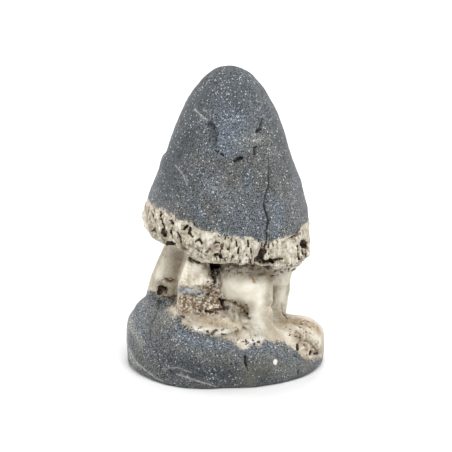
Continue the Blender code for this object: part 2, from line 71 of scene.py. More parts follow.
# Where the pale rock ends on the base: height and reach from the axis on the back, by azimuth.
PALE_FOOT_BEHIND = (
    (20, 10, 43), (40, 17, 38), (65, 22, 31), (90, 24, 30), (120, 25, 30),
    (145, 27, 32), (165, 32, 34),
)
PALE_FOOT_FRONT = (
    (-37, 33.2), (-33.7, 32.7), (-32.3, 31.3), (-28.9, 30.4), (-25.6, 30.4), (-23.7, 28.9), (-25.6, 27),
    (-28.5, 24.7), (-27, 23.3), (-24.2, 21.8), (-21.4, 19.9), (-20.4, 18), (-17.1, 16.6), (-14.2, 14.7),
    (-10.9, 13.8), (-6.6, 12.8), (-2.8, 11.9), (0.9, 11.4), (2.8, 9.5), (5.7, 7.6), (8.5, 6.6), (12.3, 8.1),
    (15.2, 8.5), (18.5, 9), (21.8, 9.5), (24.7, 9.5), (28, 8.1), (31.3, 6.2), (34.2, 4.3), (37, 1.9),
    (39.4, 0.9), (42.7, 0.5), (45.6, 1.4), (47, 4.3),
)

# Outlines on the sheet: the fibrous block, the slate under it, and one white spot on the base.
BLOCK = [
    (-18.7, 47.9), (-17.1, 48.4), (-13.8, 47.7), (-10, 47.4), (-8.5, 46), (-7.8, 43.2), (-6.2, 39.4),
    (-5.2, 36.3), (-8.5, 36.5), (-11.4, 35.8), (-14.2, 36.5), (-17.1, 35.8), (-19.9, 36.3), (-22.8, 36.1),
    (-21.4, 40.3), (-19.9, 44.6),
]
SLATE = [
    (-22.8, 35.4), (-19.9, 35.8), (-17.1, 34.9), (-13.8, 34.2), (-10.4, 33.7), (-9.7, 31.8), (-11.4, 30.4),
    (-14.2, 30.6), (-17.1, 31.3), (-19.9, 32.3), (-22.8, 33.5),
]
SPOT = [(22.6, 1.5), (23.9, 1.4), (24.4, 0), (23.7, -1.4), (22.6, -1.3), (22.1, 0)]

# --- Clay: the fine skin while it is weathered ------------------------


def lattice(corner, seed):
    """A steady random number from 0 to 1 for every whole-numbered corner of space."""
    mixed = corner[..., 0] * 73856093 ^ corner[..., 1] * 19349663 ^ corner[..., 2] * 83492791
    mixed = (mixed ^ (seed * 40503 + 977)) * 1274126177
    mixed = (mixed ^ (mixed >> 15)) * 668265263
    return ((mixed ^ (mixed >> 13)) & 0xFFFFFF) / 0xFFFFFF


def lumpy(points, size, seed):
    """Smooth noise from -1 to 1, with lumps of about the given size."""
    spot = points / size
    low = np.floor(spot).astype(np.int64)
    part = spot - low
    part = part * part * (3 - 2 * part)
    total = np.zeros(len(points))
    for corner in np.ndindex(2, 2, 2):
        share = np.prod(np.where(corner, part, 1 - part), axis=1)
        total += share * lattice(low + corner, seed)
    return 2 * total - 1


def cells(points, size, seed):
    """Round cells: how far the nearest centre is, and its number from 0 to 1."""
    spot = points / size
    low = np.floor(spot).astype(np.int64)
    first = np.full(len(points), 9.0)
    number = np.zeros(len(points))
    for step in np.ndindex(3, 3, 3):
        cell = low + step - 1
        shift = np.stack([lattice(cell, seed + 11 * k) for k in (1, 2, 3)], axis=1)
        away = np.linalg.norm(cell + 0.5 + 0.8 * (shift - 0.5) - spot, axis=1)
        nearer = away < first
        number = np.where(nearer, lattice(cell, seed + 7), number)
        first = np.where(nearer, away, first)
    return first, number


def between(value, low, high):
    """0 below low, 1 above high, and smooth between them."""
    t = np.clip((value - low) / (high - low), 0, 1)
    return t * t * (3 - 2 * t)


# Two cross-sections of what is cut, swollen or painted along a path.
def bowl(distance, reach):
    return np.sqrt(np.clip(1 - (distance / reach) ** 2, 0, 1))


def slope(distance, reach):
    return between(1 - distance / reach, 0, 1)


def table(pairs, where, column=1):
    """Values between the table's rows, which close in a circle."""
    rows = np.array(sorted(pairs), float)
    return np.interp(where, rows[:, 0], rows[:, column], period=360)


def far_from(points, path):
    """How far each point is from a path, which may be a single point."""
    nearest = np.full(len(points), 1e9)
    for a, b in zip(path, path[1:] or path):
        along = b - a
        t = np.clip((points - a) @ along / max(along @ along, 1e-9), 0, 1)
        nearest = np.minimum(nearest, np.linalg.norm(points - a - t[:, None] * along, axis=1))
    return nearest


class Clay:
    """The skin's points and normals in millimetres, and what has been painted on them."""

    def __init__(self, skin):
        self.skin = skin
        self.paints = {}
        self.refresh()

    def refresh(self):
        """Reads the skin's points and normals."""
        mesh = self.skin.data
        count = len(mesh.vertices)
        points = np.empty(count * 3)
        mesh.vertices.foreach_get("co", points)
        self.points = points.reshape(-1, 3) / MM
        normals = np.empty(count * 3)
        mesh.vertices.foreach_get("normal", normals)
        self.normals = normals.reshape(-1, 3)
        self.tree = bvhtree.BVHTree.FromObject(self.skin, bpy.context.evaluated_depsgraph_get())

    def keep(self):
        """Gives the skin its new points."""
        self.skin.data.vertices.foreach_set("co", (self.points * MM).astype(np.float32).ravel())
        self.skin.data.update()
        self.refresh()

    def paint(self, name, picked, values):
        """Paints the picked points, except where they are painted more strongly already."""
        held = self.paints.setdefault(name, np.zeros(len(self.points)))
        held[picked] = np.maximum(held[picked], values)

    def push(self, picked, rise):
        """Moves the picked points outward by their rise."""
        self.points[picked] += self.normals[picked] * rise[:, None]

    def lay(self, x, v):
        """The stone's point under the sheet's point (x, v)."""
        start = (SHEET_ORIGIN + Vector((x, 0, 0)) + UP_SHEET * v - INTO_STONE * FAR) * MM
        hit = self.tree.ray_cast(start, INTO_STONE)[0]
        return np.array(hit or start + INTO_STONE * FAR * MM) / MM

    def lay_path(self, path, step=1.0):
        """The stone's points under a path on the sheet, at even steps."""
        laid = [self.lay(*path[0])]
        for (x0, v0), (x1, v1) in zip(path, path[1:]):
            pieces = max(1, round(math.hypot(x1 - x0, v1 - v0) / step))
            for i in range(1, pieces + 1):
                laid.append(self.lay(x0 + (x1 - x0) * i / pieces, v0 + (v1 - v0) * i / pieces))
        return laid

    def near(self, path, reach, ragged, seed):
        """The points within reach of a path, and how far each is, with a ragged edge."""
        laid = np.array(self.lay_path(path))
        low, high = laid.min(axis=0) - reach * 1.6, laid.max(axis=0) + reach * 1.6
        picked = np.flatnonzero(np.all((self.points > low) & (self.points < high), axis=1))
        some = self.points[picked]
        away = far_from(some, list(laid))
        wave = lumpy(some, max(reach, 0.7), seed + 5) + 0.5 * lumpy(some, max(reach, 0.7) / 2, seed)
        return picked, away * (1 + ragged * wave)

    def cut(self, paths, width, depth, dirt_and_shade, ragged, shape=bowl):
        """Cuts pits and grooves, and paints dirt and shade into them."""
        for number, path in enumerate(paths):
            picked, away = self.near(path, width / 2, ragged, number)
            hollow = shape(away, width / 2)
            self.push(picked, -depth * hollow)
            self.paint("dirt_and_shade", picked, dirt_and_shade * hollow ** 2)

    def swell(self, paths, width, height, ragged):
        """Raises gentle swellings along paths."""
        for number, path in enumerate(paths):
            picked, away = self.near(path, width / 2, ragged, number)
            self.push(picked, height * slope(away, width / 2))

    def dab(self, name, path, width, strength, ragged):
        """Paints along a path without changing the shape."""
        picked, away = self.near(path, width / 2, ragged, 31)
        self.paint(name, picked, strength * slope(away, width / 2))


# --- The skin ---------------------------------------------------------


def apply_modifiers(piece):
    bpy.ops.object.select_all(action="DESELECT")
    piece.select_set(True)
    bpy.context.view_layer.objects.active = piece
    for modifier in list(piece.modifiers):
        bpy.ops.object.modifier_apply(modifier=modifier.name)


def lay_skin(name, solid):
    """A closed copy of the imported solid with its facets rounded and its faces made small."""
    bpy.ops.object.select_all(action="DESELECT")
    skin = bpy.data.objects.new(name, solid.data.copy())
    bpy.context.scene.collection.objects.link(skin)
    skin.data.materials.clear()
    skin.select_set(True)
    bpy.context.view_layer.objects.active = skin
    bpy.ops.object.mode_set(mode="EDIT")
    bpy.ops.mesh.select_all(action="SELECT")
    bpy.ops.mesh.remove_doubles(threshold=0.00001)
    bpy.ops.mesh.select_all(action="DESELECT")
    bpy.ops.mesh.select_mode(type="EDGE")
    bpy.ops.mesh.edges_select_sharp(sharpness=math.radians(36))
    bpy.ops.transform.edge_crease(value=0.85)
    bpy.ops.object.mode_set(mode="OBJECT")

    rounded = skin.modifiers.new("Rounded facets", "SUBSURF")
    rounded.levels = rounded.render_levels = 2
    remesh = skin.modifiers.new("Even skin", "REMESH")
    remesh.mode = "VOXEL"
    remesh.voxel_size = SKIN_VOXEL * MM
    soften = skin.modifiers.new("Even slopes", "SMOOTH")
    soften.factor = 0.5
    soften.iterations = 2
    apply_modifiers(skin)
    return skin


def face_middles(skin):
    middles = np.empty(len(skin.data.polygons) * 3)
    skin.data.polygons.foreach_get("center", middles)
    return middles.reshape(-1, 3) / MM


def split_faces(skin, picked):
    """Halves the edges of the picked faces, for the finest work."""
    bpy.context.tool_settings.mesh_select_mode = (False, False, True)
    skin.data.polygons.foreach_set("select", picked)
    bpy.ops.object.mode_set(mode="EDIT")
    bpy.ops.mesh.subdivide(number_cuts=1, smoothness=0)
    bpy.ops.object.mode_set(mode="OBJECT")


def split_near(skin, rows, reach=1.3):
    """Halves the faces again along the cuts given one by one, so that narrow cracks stay narrow."""
    clay = Clay(skin)
    middles = face_middles(skin)
    wanted = np.zeros(len(middles), bool)
    for width, depth, dirt_and_shade, path in rows:
        laid = np.array(clay.lay_path(path))
        low, high = laid.min(axis=0) - reach, laid.max(axis=0) + reach
        picked = np.flatnonzero(np.all((middles > low) & (middles < high), axis=1))
        wanted[picked] |= far_from(middles[picked], list(laid)) < reach
    split_faces(skin, wanted)


def azimuth_of(points):
    """The direction of each point from the axis, in degrees from +X."""
    return np.degrees(np.arctan2(points[:, 1], points[:, 0])) % 360


def finest(middles):
    """Picks the faces of the pitted band and of the waist's front."""
    x, y, z = middles.T
    azimuth = azimuth_of(middles)
    reach = np.hypot(x, y)
    band = (z > table(CAP_LIP, azimuth) - 4) & (z < 84) & (z > 46) & (reach > 27)
    waist = (z > 22) & (z < 62) & (y < -6) & (reach < 36) & (x > -34)
    return band | waist


def is_inside(flat, ring):
    """Whether each point of the sheet lies inside a closed outline."""
    x, v = flat.T
    inside = np.zeros(len(x), bool)
    for (x0, v0), (x1, v1) in zip(ring, ring[1:] + ring[:1]):
        if v0 != v1:
            crosses = (v0 > v) != (v1 > v)
            inside ^= crosses & (x < x0 + (x1 - x0) * (v - v0) / (v1 - v0))
    return inside


def side_of(flat, line):
    """Distance from a line on the sheet that runs to the right: above it, and negative below."""
    ring = [(-FAR, line[0][1]), *line, (FAR, line[-1][1]), (FAR, FAR), (-FAR, FAR)]
    away = far_from(flat, [np.array(p) for p in ring[:-2]])
    return np.where(is_inside(flat, ring), away, -away)


def depth_inside(clay, ring, limit=9.0):
    """How far the front's points lie inside a closed outline on the sheet; negative outside."""
    flat = on_sheet(clay.points)
    away = np.minimum(far_from(flat, [np.array(p) for p in ring + ring[:1]]), limit)
    front = -clay.normals @ np.array(INTO_STONE) > -0.1
    return np.where(is_inside(flat, ring) & front, away, -away)


def on_sheet(points):
    """The place (x, v) on the sheet in front of each point."""
    flat = points - np.array(SHEET_ORIGIN)
    return np.stack([flat[:, 0], flat @ np.array(UP_SHEET)], axis=1)


def mark_pale(clay):
    """How far each point lies inside the pale rock, in millimetres; negative on the dark rock."""
    points = clay.points
    azimuth = azimuth_of(points)
    front = np.array(clay.lay_path(BAND_TOP_FRONT, 3.0))
    pairs = list(zip(azimuth_of(front), front[:, 2])) + list(BAND_TOP_BEHIND)
    below_cap = table(pairs, azimuth) - points[:, 2]

    above_front = side_of(on_sheet(points), PALE_FOOT_FRONT)
    reach = np.hypot(points[:, 0], points[:, 1])
    rise = points[:, 2] - table(PALE_FOOT_BEHIND, azimuth)
    inward = table(PALE_FOOT_BEHIND, azimuth, 2) - reach
    behind = between(points[:, 1], -3.0, 5.0)
    above_base = above_front * (1 - behind) + 0.7 * (rise + inward) * behind
    return np.minimum(below_cap, above_base)


def band_share(clay):
    """1 on the pale band round the cap's lower edge, and 0 elsewhere."""
    x, y, z = clay.points.T
    lip = table(CAP_LIP, azimuth_of(clay.points))
    outer = between(np.hypot(x, y * 1.08), 26, 30)
    return between(z, lip - 5.0, lip - 2.0) * between(z, 46, 50) * outer


def patch(clay, x, v, width, height):
    """1 in the middle of an upright oval on the front sheet, falling to 0 at its edge."""
    sheet = clay.points - np.array(SHEET_ORIGIN)
    across = (sheet[:, 0] - x) / (width / 2)
    up = (sheet @ np.array(UP_SHEET) - v) / (height / 2)
    facing = between(-clay.normals @ np.array(INTO_STONE), -0.1, 0.2)
    return between(1.25 - np.hypot(across, up), 0.0, 0.5) * facing


def weather(clay, pale):
    """The slow relief of both rocks: waves, fine grain, and swellings of the pale rock."""
    points = clay.points
    x, y, z = points.T
    soft = between(pale, -0.5, 1.0)
    band = band_share(clay) * soft
    waist = soft * (1 - band)
    waves = 0.50 * lumpy(points, 15.0, 8) + 0.30 * lumpy(points, 6.5, 9)
    relief = (1 - soft) * (waves + 0.12 * lumpy(points, 3.0, 1) + 0.07 * lumpy(points, 1.1, 2))
    relief += waist * (0.30 * lumpy(points, 5.0, 3) + 0.12 * lumpy(points, 2.2, 4))
    rough = 0.70 * lumpy(points, 4.4, 5) + 0.42 * lumpy(points * [1, 1, 0.7], 2.0, 6)
    relief += band * (rough + 0.26 * lumpy(points * [1, 1, 0.7], 1.0, 7))
    clay.paints["band"] = band
    underside = band * between(-clay.normals[:, 2], 0.5, 0.9)
    clay.points += clay.normals * (relief * (1 - 0.5 * underside))[:, None]


# Pits of the band: their size, depth, share of the surface, and a seed.
BAND_PIT_KINDS = ((2.2, 1.5, 0.17, 40), (1.1, 0.8, 0.27, 60))


def warp(points, size, seed):
    """A wandering offset from -1 to 1 in each direction, for ragged outlines."""
    return np.stack([lumpy(points, size, seed + k) for k in (1, 2, 3)], axis=1)


def lowest(noise, share, soften=0.3):
    """1 on the lowest share of the noise, falling to 0 round it."""
    return between(np.quantile(noise, share) - noise, -soften / 3, soften)


def pit_band(clay, pale):
    """Ragged pits of two sizes in the band: slanting at the left, upright at the middle."""
    band = band_share(clay)
    picked = np.flatnonzero((band > 0.05) & (pale > -0.5))
    some = clay.points[picked]
    x, y, z = some.T
    share = band[picked] * between(pale[picked], -0.3, 1.2)
    patchy = between(lumpy(some, 8.0, 21) + 0.5 * lumpy(some, 4.0, 22), -0.5, 0.35)
    smooth_left = between(-33 - x, 0, 4) * between(z, 60, 66)
    smooth_right = patch(clay, 27.5, 52.4, 11.5, 12.0)[picked]
    share = share * (1 - 0.8 * smooth_left) * (1 - 0.75 * smooth_right) * (0.35 + 0.65 * patchy)
    upright = between(x, -12, -3) * between(22 - x, 0, 6)
    slanting = np.stack([0.95 * x + 0.35 * (z - 60), y, 0.62 * (z - 60) - 0.3 * x], axis=1)
    slits = np.stack([1.35 * x, 1.2 * y, 0.42 * (z - 60)], axis=1)
    depth = np.zeros(len(some))
    dirt_and_shade = np.zeros(len(some))
    for size, deep, area, seed in BAND_PIT_KINDS:
        ragged = 0.4 * size * warp(some, size * 0.6, seed + 5)
        round_pits = lowest(lumpy(slanting + ragged, size, seed), area)
        slit_pits = lowest(lumpy(slits + ragged, size, seed + 9), area)
        hollow = round_pits * (1 - upright) + slit_pits * upright
        depth = np.maximum(depth, deep * hollow)
        dirt_and_shade = np.maximum(dirt_and_shade, (0.3 + 0.3 * deep) * hollow ** 3)
    clay.push(picked, -depth * share)
    clay.paint("dirt_and_shade", picked, dirt_and_shade * share)


# What is cut, one by one: width, depth, and dirt with painted shade, then the path on the sheet.
CAP_CUTS = (
    (0.8, 0.7, 0.8, ((19.9, 96.8), (19.9, 94), (20.1, 90.6), (19.5, 87.8))),
    (0.9, 0.8, 0.9, ((19.5, 87.8), (19.8, 84.9), (19.7, 82.3))),
    (0.85, 0.8, 0.9, ((19.7, 82.3), (19, 80.2), (18, 77.3))), (0.7, 0.5, 0.6, ((18, 77.3), (17.6, 74.5))),
    (1, 1.1, 1, ((17.6, 74.5), (18, 72.1), (19, 68.8), (19.7, 66.4), (19, 63.1), (18.5, 61.7))),
    (0.8, 0.9, 0.9, ((18.5, 61.7), (19, 59.8), (18.5, 56))),
    (1.2, 1.4, 0.9, ((18.5, 56), (17.6, 54.1), (16.1, 51.7), (14.7, 49.3))),
    (4.2, 1.5, 0.16, ((-7.1, 110.6), (-6.2, 108.2), (-5.9, 105.8), (-6.2, 103.4))),
    (2.4, 0.8, 0.25, ((-6.2, 103.4), (-5.7, 101.1))),
    (0.7, 0.7, 0.7, ((-7.1, 111), (-5.9, 109.6), (-5, 106.8))),
    (0.7, 0.6, 0.6, ((-5.5, 103.4), (-5.5, 101.1))), (0.7, 0.7, 0.9, ((-5.2, 99.2), (-3.8, 98.2))),
    (0.9, 0.8, 1, ((-2.4, 97.5), (-1.2, 96.6))), (1.3, 1.4, 1, ((4, 94), (5.7, 95.1), (7.4, 95.6))),
    (0.7, 0.3, 0.35, ((18, 121), (17.3, 117.2), (17.1, 113.9))),
    (0.7, 0.7, 0.7, ((17.1, 113.9), (16.1, 111.5), (15.4, 109.1))),
    (1.8, 1.3, 0.8, ((15.7, 109.1), (14.2, 107.9))),
    (1.1, 0.9, 0.8, ((14.2, 100.6), (13, 100.1), (13.3, 97.3))),
    (0.5, 0.4, 0.5, ((14.2, 100.6), (16.1, 100.6))), (0.6, 0.5, 0.6, ((-8.3, 121.5), (-8.5, 119.6))),
    (0.6, 0.5, 0.6, ((-8.3, 116.3), (-8.3, 114.4))), (0.6, 0.5, 0.8, ((-10.4, 90.6), (-11.4, 88.7))),
    (0.6, 0.5, 0.7, ((11.4, 70), (12.8, 69))), (0.6, 0.4, 0.6, ((-22.3, 82.1), (-22.3, 80.2))),
    (1.2, 0.6, 0.6, ((-5.2, 130.5), (-4.3, 130.5))), (0.6, 0.5, 0.6, ((12.8, 95.6), (12.3, 94.9))),
    (0.8, 0.4, 0.4, ((2.4, 84.5), (3.3, 84))),
)
BAND_CUTS = (
    (1.2, 1.1, 0.8, ((-30.6, 70.7), (-29.9, 67.4), (-28.9, 63.6), (-28.7, 60.7))),
    (2.2, 1.6, 1, ((-29.2, 62.2), (-28.7, 59.8))), (0.9, 0.5, 0.6, ((-34.6, 61.7), (-32.7, 63.1))),
    (1.7, 1.6, 1, ((-25.4, 66.4), (-24.7, 65))), (1.5, 1.5, 1, ((-25.6, 61.7), (-24.9, 58.8))),
    (1.5, 1.3, 0.9, ((-22.8, 61.2), (-21.4, 58.4), (-20.4, 55))),
    (2, 1.8, 1, ((-26.6, 56.5), (-26.1, 55.5))), (2.6, 2, 1, ((-24.7, 56), (-24.4, 54.8))),
    (1.5, 1.2, 0.9, ((-19.5, 62.6), (-18, 64.1))),
    (1.6, 1.3, 0.9, ((-16.6, 63.1), (-17.1, 60.7), (-15.9, 59.3))),
    (1.2, 1, 1, ((-14.7, 64.8), (-14.5, 64.3))),
    (1.3, 1.2, 0.9, ((-13.8, 56.9), (-12.3, 57.9), (-11.4, 56))),
    (1.4, 1.1, 0.9, ((-5.7, 55.5), (-4.7, 56.7), (-3.3, 56))), (1.6, 1, 0.6, ((-9, 51.7), (-7.6, 53.1))),
    (1.9, 1.2, 0.8, ((-5.2, 50.3), (-3.8, 51), (-2.4, 49.8))), (1, 0.8, 0.8, ((-1.9, 49.3), (-0.9, 48.9))),
    (0.9, 1, 0.9, ((4.7, 57.4), (5, 54.6))), (0.9, 0.9, 0.8, ((5.9, 54.3), (5.5, 51.2))),
    (1, 1, 1, ((10.2, 57.4), (10.4, 54.6))), (0.9, 1, 1, ((11.6, 53.6), (11.9, 50.8))),
    (0.9, 0.8, 0.9, ((1.9, 58.4), (2.1, 57.7))), (0.8, 0.8, 0.7, ((15.2, 57.7), (15.2, 56.7))),
    (1.4, 0.4, 0.15, ((26.8, 56.9), (27.5, 54.6), (28.5, 52.2))),
    (0.9, 0.7, 0.8, ((19.5, 55.5), (19.7, 54.1))), (0.9, 0.7, 0.8, ((21.8, 56), (22.3, 54.6))),
    (0.8, 0.6, 0.8, ((23.7, 57.4), (24.2, 56.5))), (1.1, 1, 0.9, ((33.7, 61.9), (32.5, 59.3))),
    (3.6, 2, 1, ((35.1, 55.5), (38, 54.6))), (1.6, 1, 0.9, ((35.1, 56.5), (37, 56.9))),
    (1.8, 1.3, 0.9, ((33.5, 54.6), (33.9, 51.7), (33.9, 48.9))),
    (1, 0.9, 0.8, ((35.8, 54.1), (36.1, 50.8), (37, 48.4))), (0.8, 0.6, 0.7, ((37.5, 53.1), (37.7, 49.3))),
)
UNDERCUT = (
    (1.8, 1.2, 0.6, ((-17.1, 48.6), (-15.2, 47.9), (-12.3, 47))), (2, 1.2, 0.5, ((-12.3, 47), (-9, 46))),
    (2.4, 0.8, 0.3, ((-5.2, 44.4), (-2.4, 44.6), (0.5, 45.6))),
    (3, 2.2, 0.4, ((-7.8, 45.1), (-6.6, 41.8), (-5.5, 38))), (1.4, 1.2, 0.6, ((-7.8, 44.1), (-7.1, 41.3))),
    (2.4, 1.2, 0.5, ((0.5, 45.6), (3.3, 46.5))), (1.8, 1, 0.5, ((8.1, 46.3), (11.4, 47))),
    (3.4, 2.2, 1, ((14.2, 48.9), (16.6, 49.8), (17.6, 51.7))),
    (3, 2, 0.8, ((15.2, 47.9), (18, 47.4), (21.4, 47.9))),
    (1.6, 1.2, 0.7, ((21.4, 47.9), (24.2, 48.9), (26.1, 48.9))),
)
WAIST_CUTS = (
    (2.6, 2.2, 1, ((-31.3, 35.1), (-29.9, 34.6))), (2.8, 2.2, 1, ((-31.3, 34.2), (-31.6, 32.5))),
    (2.6, 1.2, 0.5, ((-29.4, 34.2), (-28.7, 32.7))),
    (1.4, 0.9, 0.6, ((-29.9, 35.8), (-28.5, 34.9), (-28, 33.7))),
    (1.6, 0.9, 0.45, ((-28, 38.7), (-26.6, 38), (-24.7, 38.4))),
    (0.9, 0.4, 0.4, ((-30.4, 38.4), (-28, 39.4))),
    (1.1, 0.6, 0.5, ((-30.1, 30.6), (-26.6, 29.9), (-23.3, 31.3))),
    (0.9, 0.6, 0.9, ((-31.1, 28.2), (-30.8, 27.5))), (1.8, 1.4, 0.9, ((-3.3, 29.9), (-1.4, 28))),
    (1.6, 1.2, 0.7, ((-1.9, 27.5), (-0.9, 25.1))), (3, 0.9, 0.35, ((4.7, 27.5), (6.6, 25.6))),
    (3, 1, 0.5, ((7.6, 24.2), (9.3, 22.3))), (1.2, 0.6, 0.7, ((4.7, 28), (6.2, 27))),
    (1.4, 0.6, 0.7, ((8.1, 24.2), (9.5, 22.8))), (1.2, 0.8, 0.8, ((-12.8, 24.7), (-11.9, 23.7))),
    (1.6, 1.1, 0.9, ((-9.5, 24), (-6.6, 23.5))), (1.4, 0.9, 0.8, ((-4.7, 24.7), (-1.9, 25.1))),
    (1.4, 0.9, 0.6, ((-21.4, 21.6), (-19.9, 21.1))),
    (2.2, 1, 0.35, ((-1.9, 29.4), (1.4, 28.5), (4.7, 27.5), (8.1, 25.1), (10.4, 22.8), (10.7, 20.4))),
    (2.2, 0.8, 0.2, ((0.5, 26.1), (-0.5, 23.3), (-1.9, 21.4))),
    (1.8, 0.6, 0.25, ((2.8, 25.1), (4.3, 21.4))), (1.6, 0.6, 0.2, ((6.6, 20.4), (7.6, 17.6), (9, 14.7))),
    (1.6, 0.5, 0.2, ((4.7, 14.7), (5.7, 10.9))),
    (0.8, 0.15, 0.25, ((26.6, 27.5), (26.8, 23.7), (27.5, 21.6), (29.4, 19.9))),
    (0.7, 0.2, 0.1, ((29.4, 19.9), (33.7, 19), (38.9, 18.5))),
)
BASE_CUTS = (
    (0.55, 0.5, 0.6, ((-31.1, 28.5), (-32.7, 23.3))),
    (0.45, 0.4, 0.5, ((-32.7, 23.3), (-34.2, 19.5), (-35.8, 15.7))),
    (0.6, 0.5, 0.7, ((-35.8, 15.7), (-35.8, 11.9))), (0.5, 0.4, 0.5, ((-35.6, 11.9), (-35.4, 9.5))),
    (1.2, 1.3, 0.9, ((9, 2.8), (9, 0), (9.5, -1.9))), (0.6, 0.7, 0.8, ((9.5, -1.9), (10.4, -4.3))),
    (0.9, 0.7, 0.8, ((9.3, 10.7), (9.5, 10.2))), (1.1, 0.6, 0.7, ((13.3, 9), (13.3, 8.5))),
    (1.4, 0.7, 0.8, ((14.9, 9.5), (15.7, 9.5))), (0.8, 0.5, 0.5, ((9, 8.5), (10.9, 9.5))),
    (1.4, 0.8, 0.9, ((-9, 14.5), (-8.5, 14.2))), (1.5, 0.8, 0.8, ((-6.6, 13.3), (-4.7, 14.9))),
    (1.1, 0.6, 0.7, ((-1.9, 13), (-0.5, 13))), (1, 0.35, 0.3, ((33, 14.7), (35.1, 12.3), (35.1, 10))),
    (1.6, 1, 0.7, ((33.7, 8.1), (33.9, 5.7))), (1.2, 0.3, 0.2, ((35.1, 10), (33.9, 8.1))),
    (1.2, 0.3, 0.1, ((36.5, 14.7), (38.7, 12.8), (39.9, 10.4), (40.3, 8.1))),
    (1.4, 0.4, 0.2, ((40.3, 8.1), (42.2, 5.7), (44.1, 3.8))), (2, 1.5, 1, ((39.9, 3.8), (40.3, 3.6))),
    (1.2, 0.25, 0.1, ((35.1, 15.7), (37.5, 14.7), (39.4, 12.8))),
    (1.2, 0.25, 0.1, ((30.4, 18.5), (34.2, 16.6), (38, 15.2))), (1.1, 0.8, 0.9, ((42.7, 8.1), (42.8, 7.8))),
    (1.6, 0.8, 0.8, ((42.2, 3.3), (44.1, 3.3))), (1, 0.6, 0.8, ((32, 2.8), (33.5, 2.1))),
    (1, 0.9, 0.9, ((34.2, -4.3), (34.2, -7.6))), (0.8, 0.5, 0.8, ((-32.3, 2.8), (-32, 0.5))),
    (0.8, 0.5, 0.8, ((-31.1, -1.7), (-30.8, -3.1))), (0.9, 0.5, 0.8, ((-26.1, -4.3), (-24.7, -5))),
    (0.8, 0.5, 0.8, ((-35.1, 0.2), (-34.8, -0.2))),
)
# Pale veins of the dark rock, which stand out a little: width, height and strength.  The first
# row only raises the white spot.
VEINS = (
    (2.4, 0.16, 0, ((23.3, 0.7), (23.3, -0.6))),
    (0.9, 0.15, 0.5, ((-42.7, -0.9), (-39.6, -3.1), (-37.5, -4.7), (-33.2, -7.6), (-30.1, -9))),
    (0.9, 0.15, 0.5, ((-23.3, -5.7), (-20.6, -6.4), (-14.7, -8.4), (-8.8, -10), (-4.7, -11.4))),
    (0.8, 0.12, 0.4, ((-46.5, 5.7), (-43.7, 1.4), (-41.8, -2.4))),
    (0.8, 0.12, 0.35, ((-29.9, -3.3), (-22.8, -2.4), (-16.1, -4.7))),
    (0.8, 0.12, 0.45, ((-14.7, 118.2), (-11.4, 115.3), (-8.5, 112.9))),
    (0.8, 0.12, 0.4, ((-10.4, 118.2), (-7.6, 115.8))),
    (0.8, 0.12, 0.35, ((-23.7, 92.5), (-19.9, 88.3), (-18, 83))),
    (0.8, 0.12, 0.3, ((8.5, 104.9), (12.3, 103.4), (17.1, 104.4))),
)


# Swellings of the waist's front: width, height and raggedness, then paths on the sheet.
SWELLINGS = (
    (7, 1.4, 0.2, (((5.7, 27), (8.5, 22.8)), ((20.9, 37), (20.4, 28.9)), ((0, 44.1), (8.5, 44.1)))),
    (15, 3.6, 0.2, (((2.4, 46), (2.8, 42.2), (4.7, 35.1)),)),
    (3.4, 1.3, 0.1, (((5.2, 45.1), (6.2, 45.1)),)),
)
BESIDE_BULGE = (((-8.5, 41.3), (-4.7, 41.8)), ((12.3, 42.2), (17.6, 42.7)))


def fill_corner(clay):
    """Brings the corner between the block and the bulge forward, where it is shallow."""
    depth = (clay.points - np.array(SHEET_ORIGIN)) @ np.array(INTO_STONE)
    share = patch(clay, -4.3, 40.3, 6.6, 7.4) * between(-12 - depth, 0, 4)
    forward = np.clip(depth + 39.5, 0, None) * share
    clay.points -= forward[:, None] * np.array(INTO_STONE)


def raise_veins(clay):
    for width, height, strength, path in VEINS:
        clay.swell([path], width, height, 0.2)
        clay.dab("white", path, width * 1.1, strength, 0.6)


def crumble_behind(clay, pale):
    """The same crumbly patches and small holes on the waist's back, where chance places them."""
    points = clay.points
    waist = between(pale, 0.0, 2.0) * (1 - band_share(clay)) * between(points[:, 1], -4, 6)
    patchy = between(lumpy(points, 11.0, 150), 0.0, 0.45) * between(points[:, 2], 18, 26)
    roughen(clay, waist * patchy, 2.0, 0.7, 155, 0.5)


def cut_by_hand(clay, rows, ragged=0.35):
    for width, depth, dirt_and_shade, path in rows:
        clay.cut([path], width, depth, dirt_and_shade, ragged)


def crust_block(clay):
    """The rotted face below the block: tight nodules with dark brown between them."""
    share = np.maximum(patch(clay, -17.6, 27.5, 15.0, 10.5), patch(clay, -7.6, 29.4, 14.5, 15.5))
    picked = np.flatnonzero(share > 0.02)
    some = clay.points[picked]
    away, number = cells(some + 0.4 * warp(some, 0.9, 81), 0.95, 84)
    lump = lumpy(some, 2.4, 85)
    rise = 0.55 * (0.8 - away) * (0.25 + number) + 0.35 * lump
    clay.push(picked, rise * share[picked])
    missing = 0.75 * (number < 0.16) + 0.3 * between(away, 0.5, 0.8)
    clay.paint("dirt_and_shade", picked, missing * share[picked])
    clay.paint("rotted", picked, share[picked])
    to_right = between(some[:, 0], -22, -6)
    clay.paint("nodule", picked, np.clip(number + 0.3 * lump - 0.35 * to_right, 0, 1))
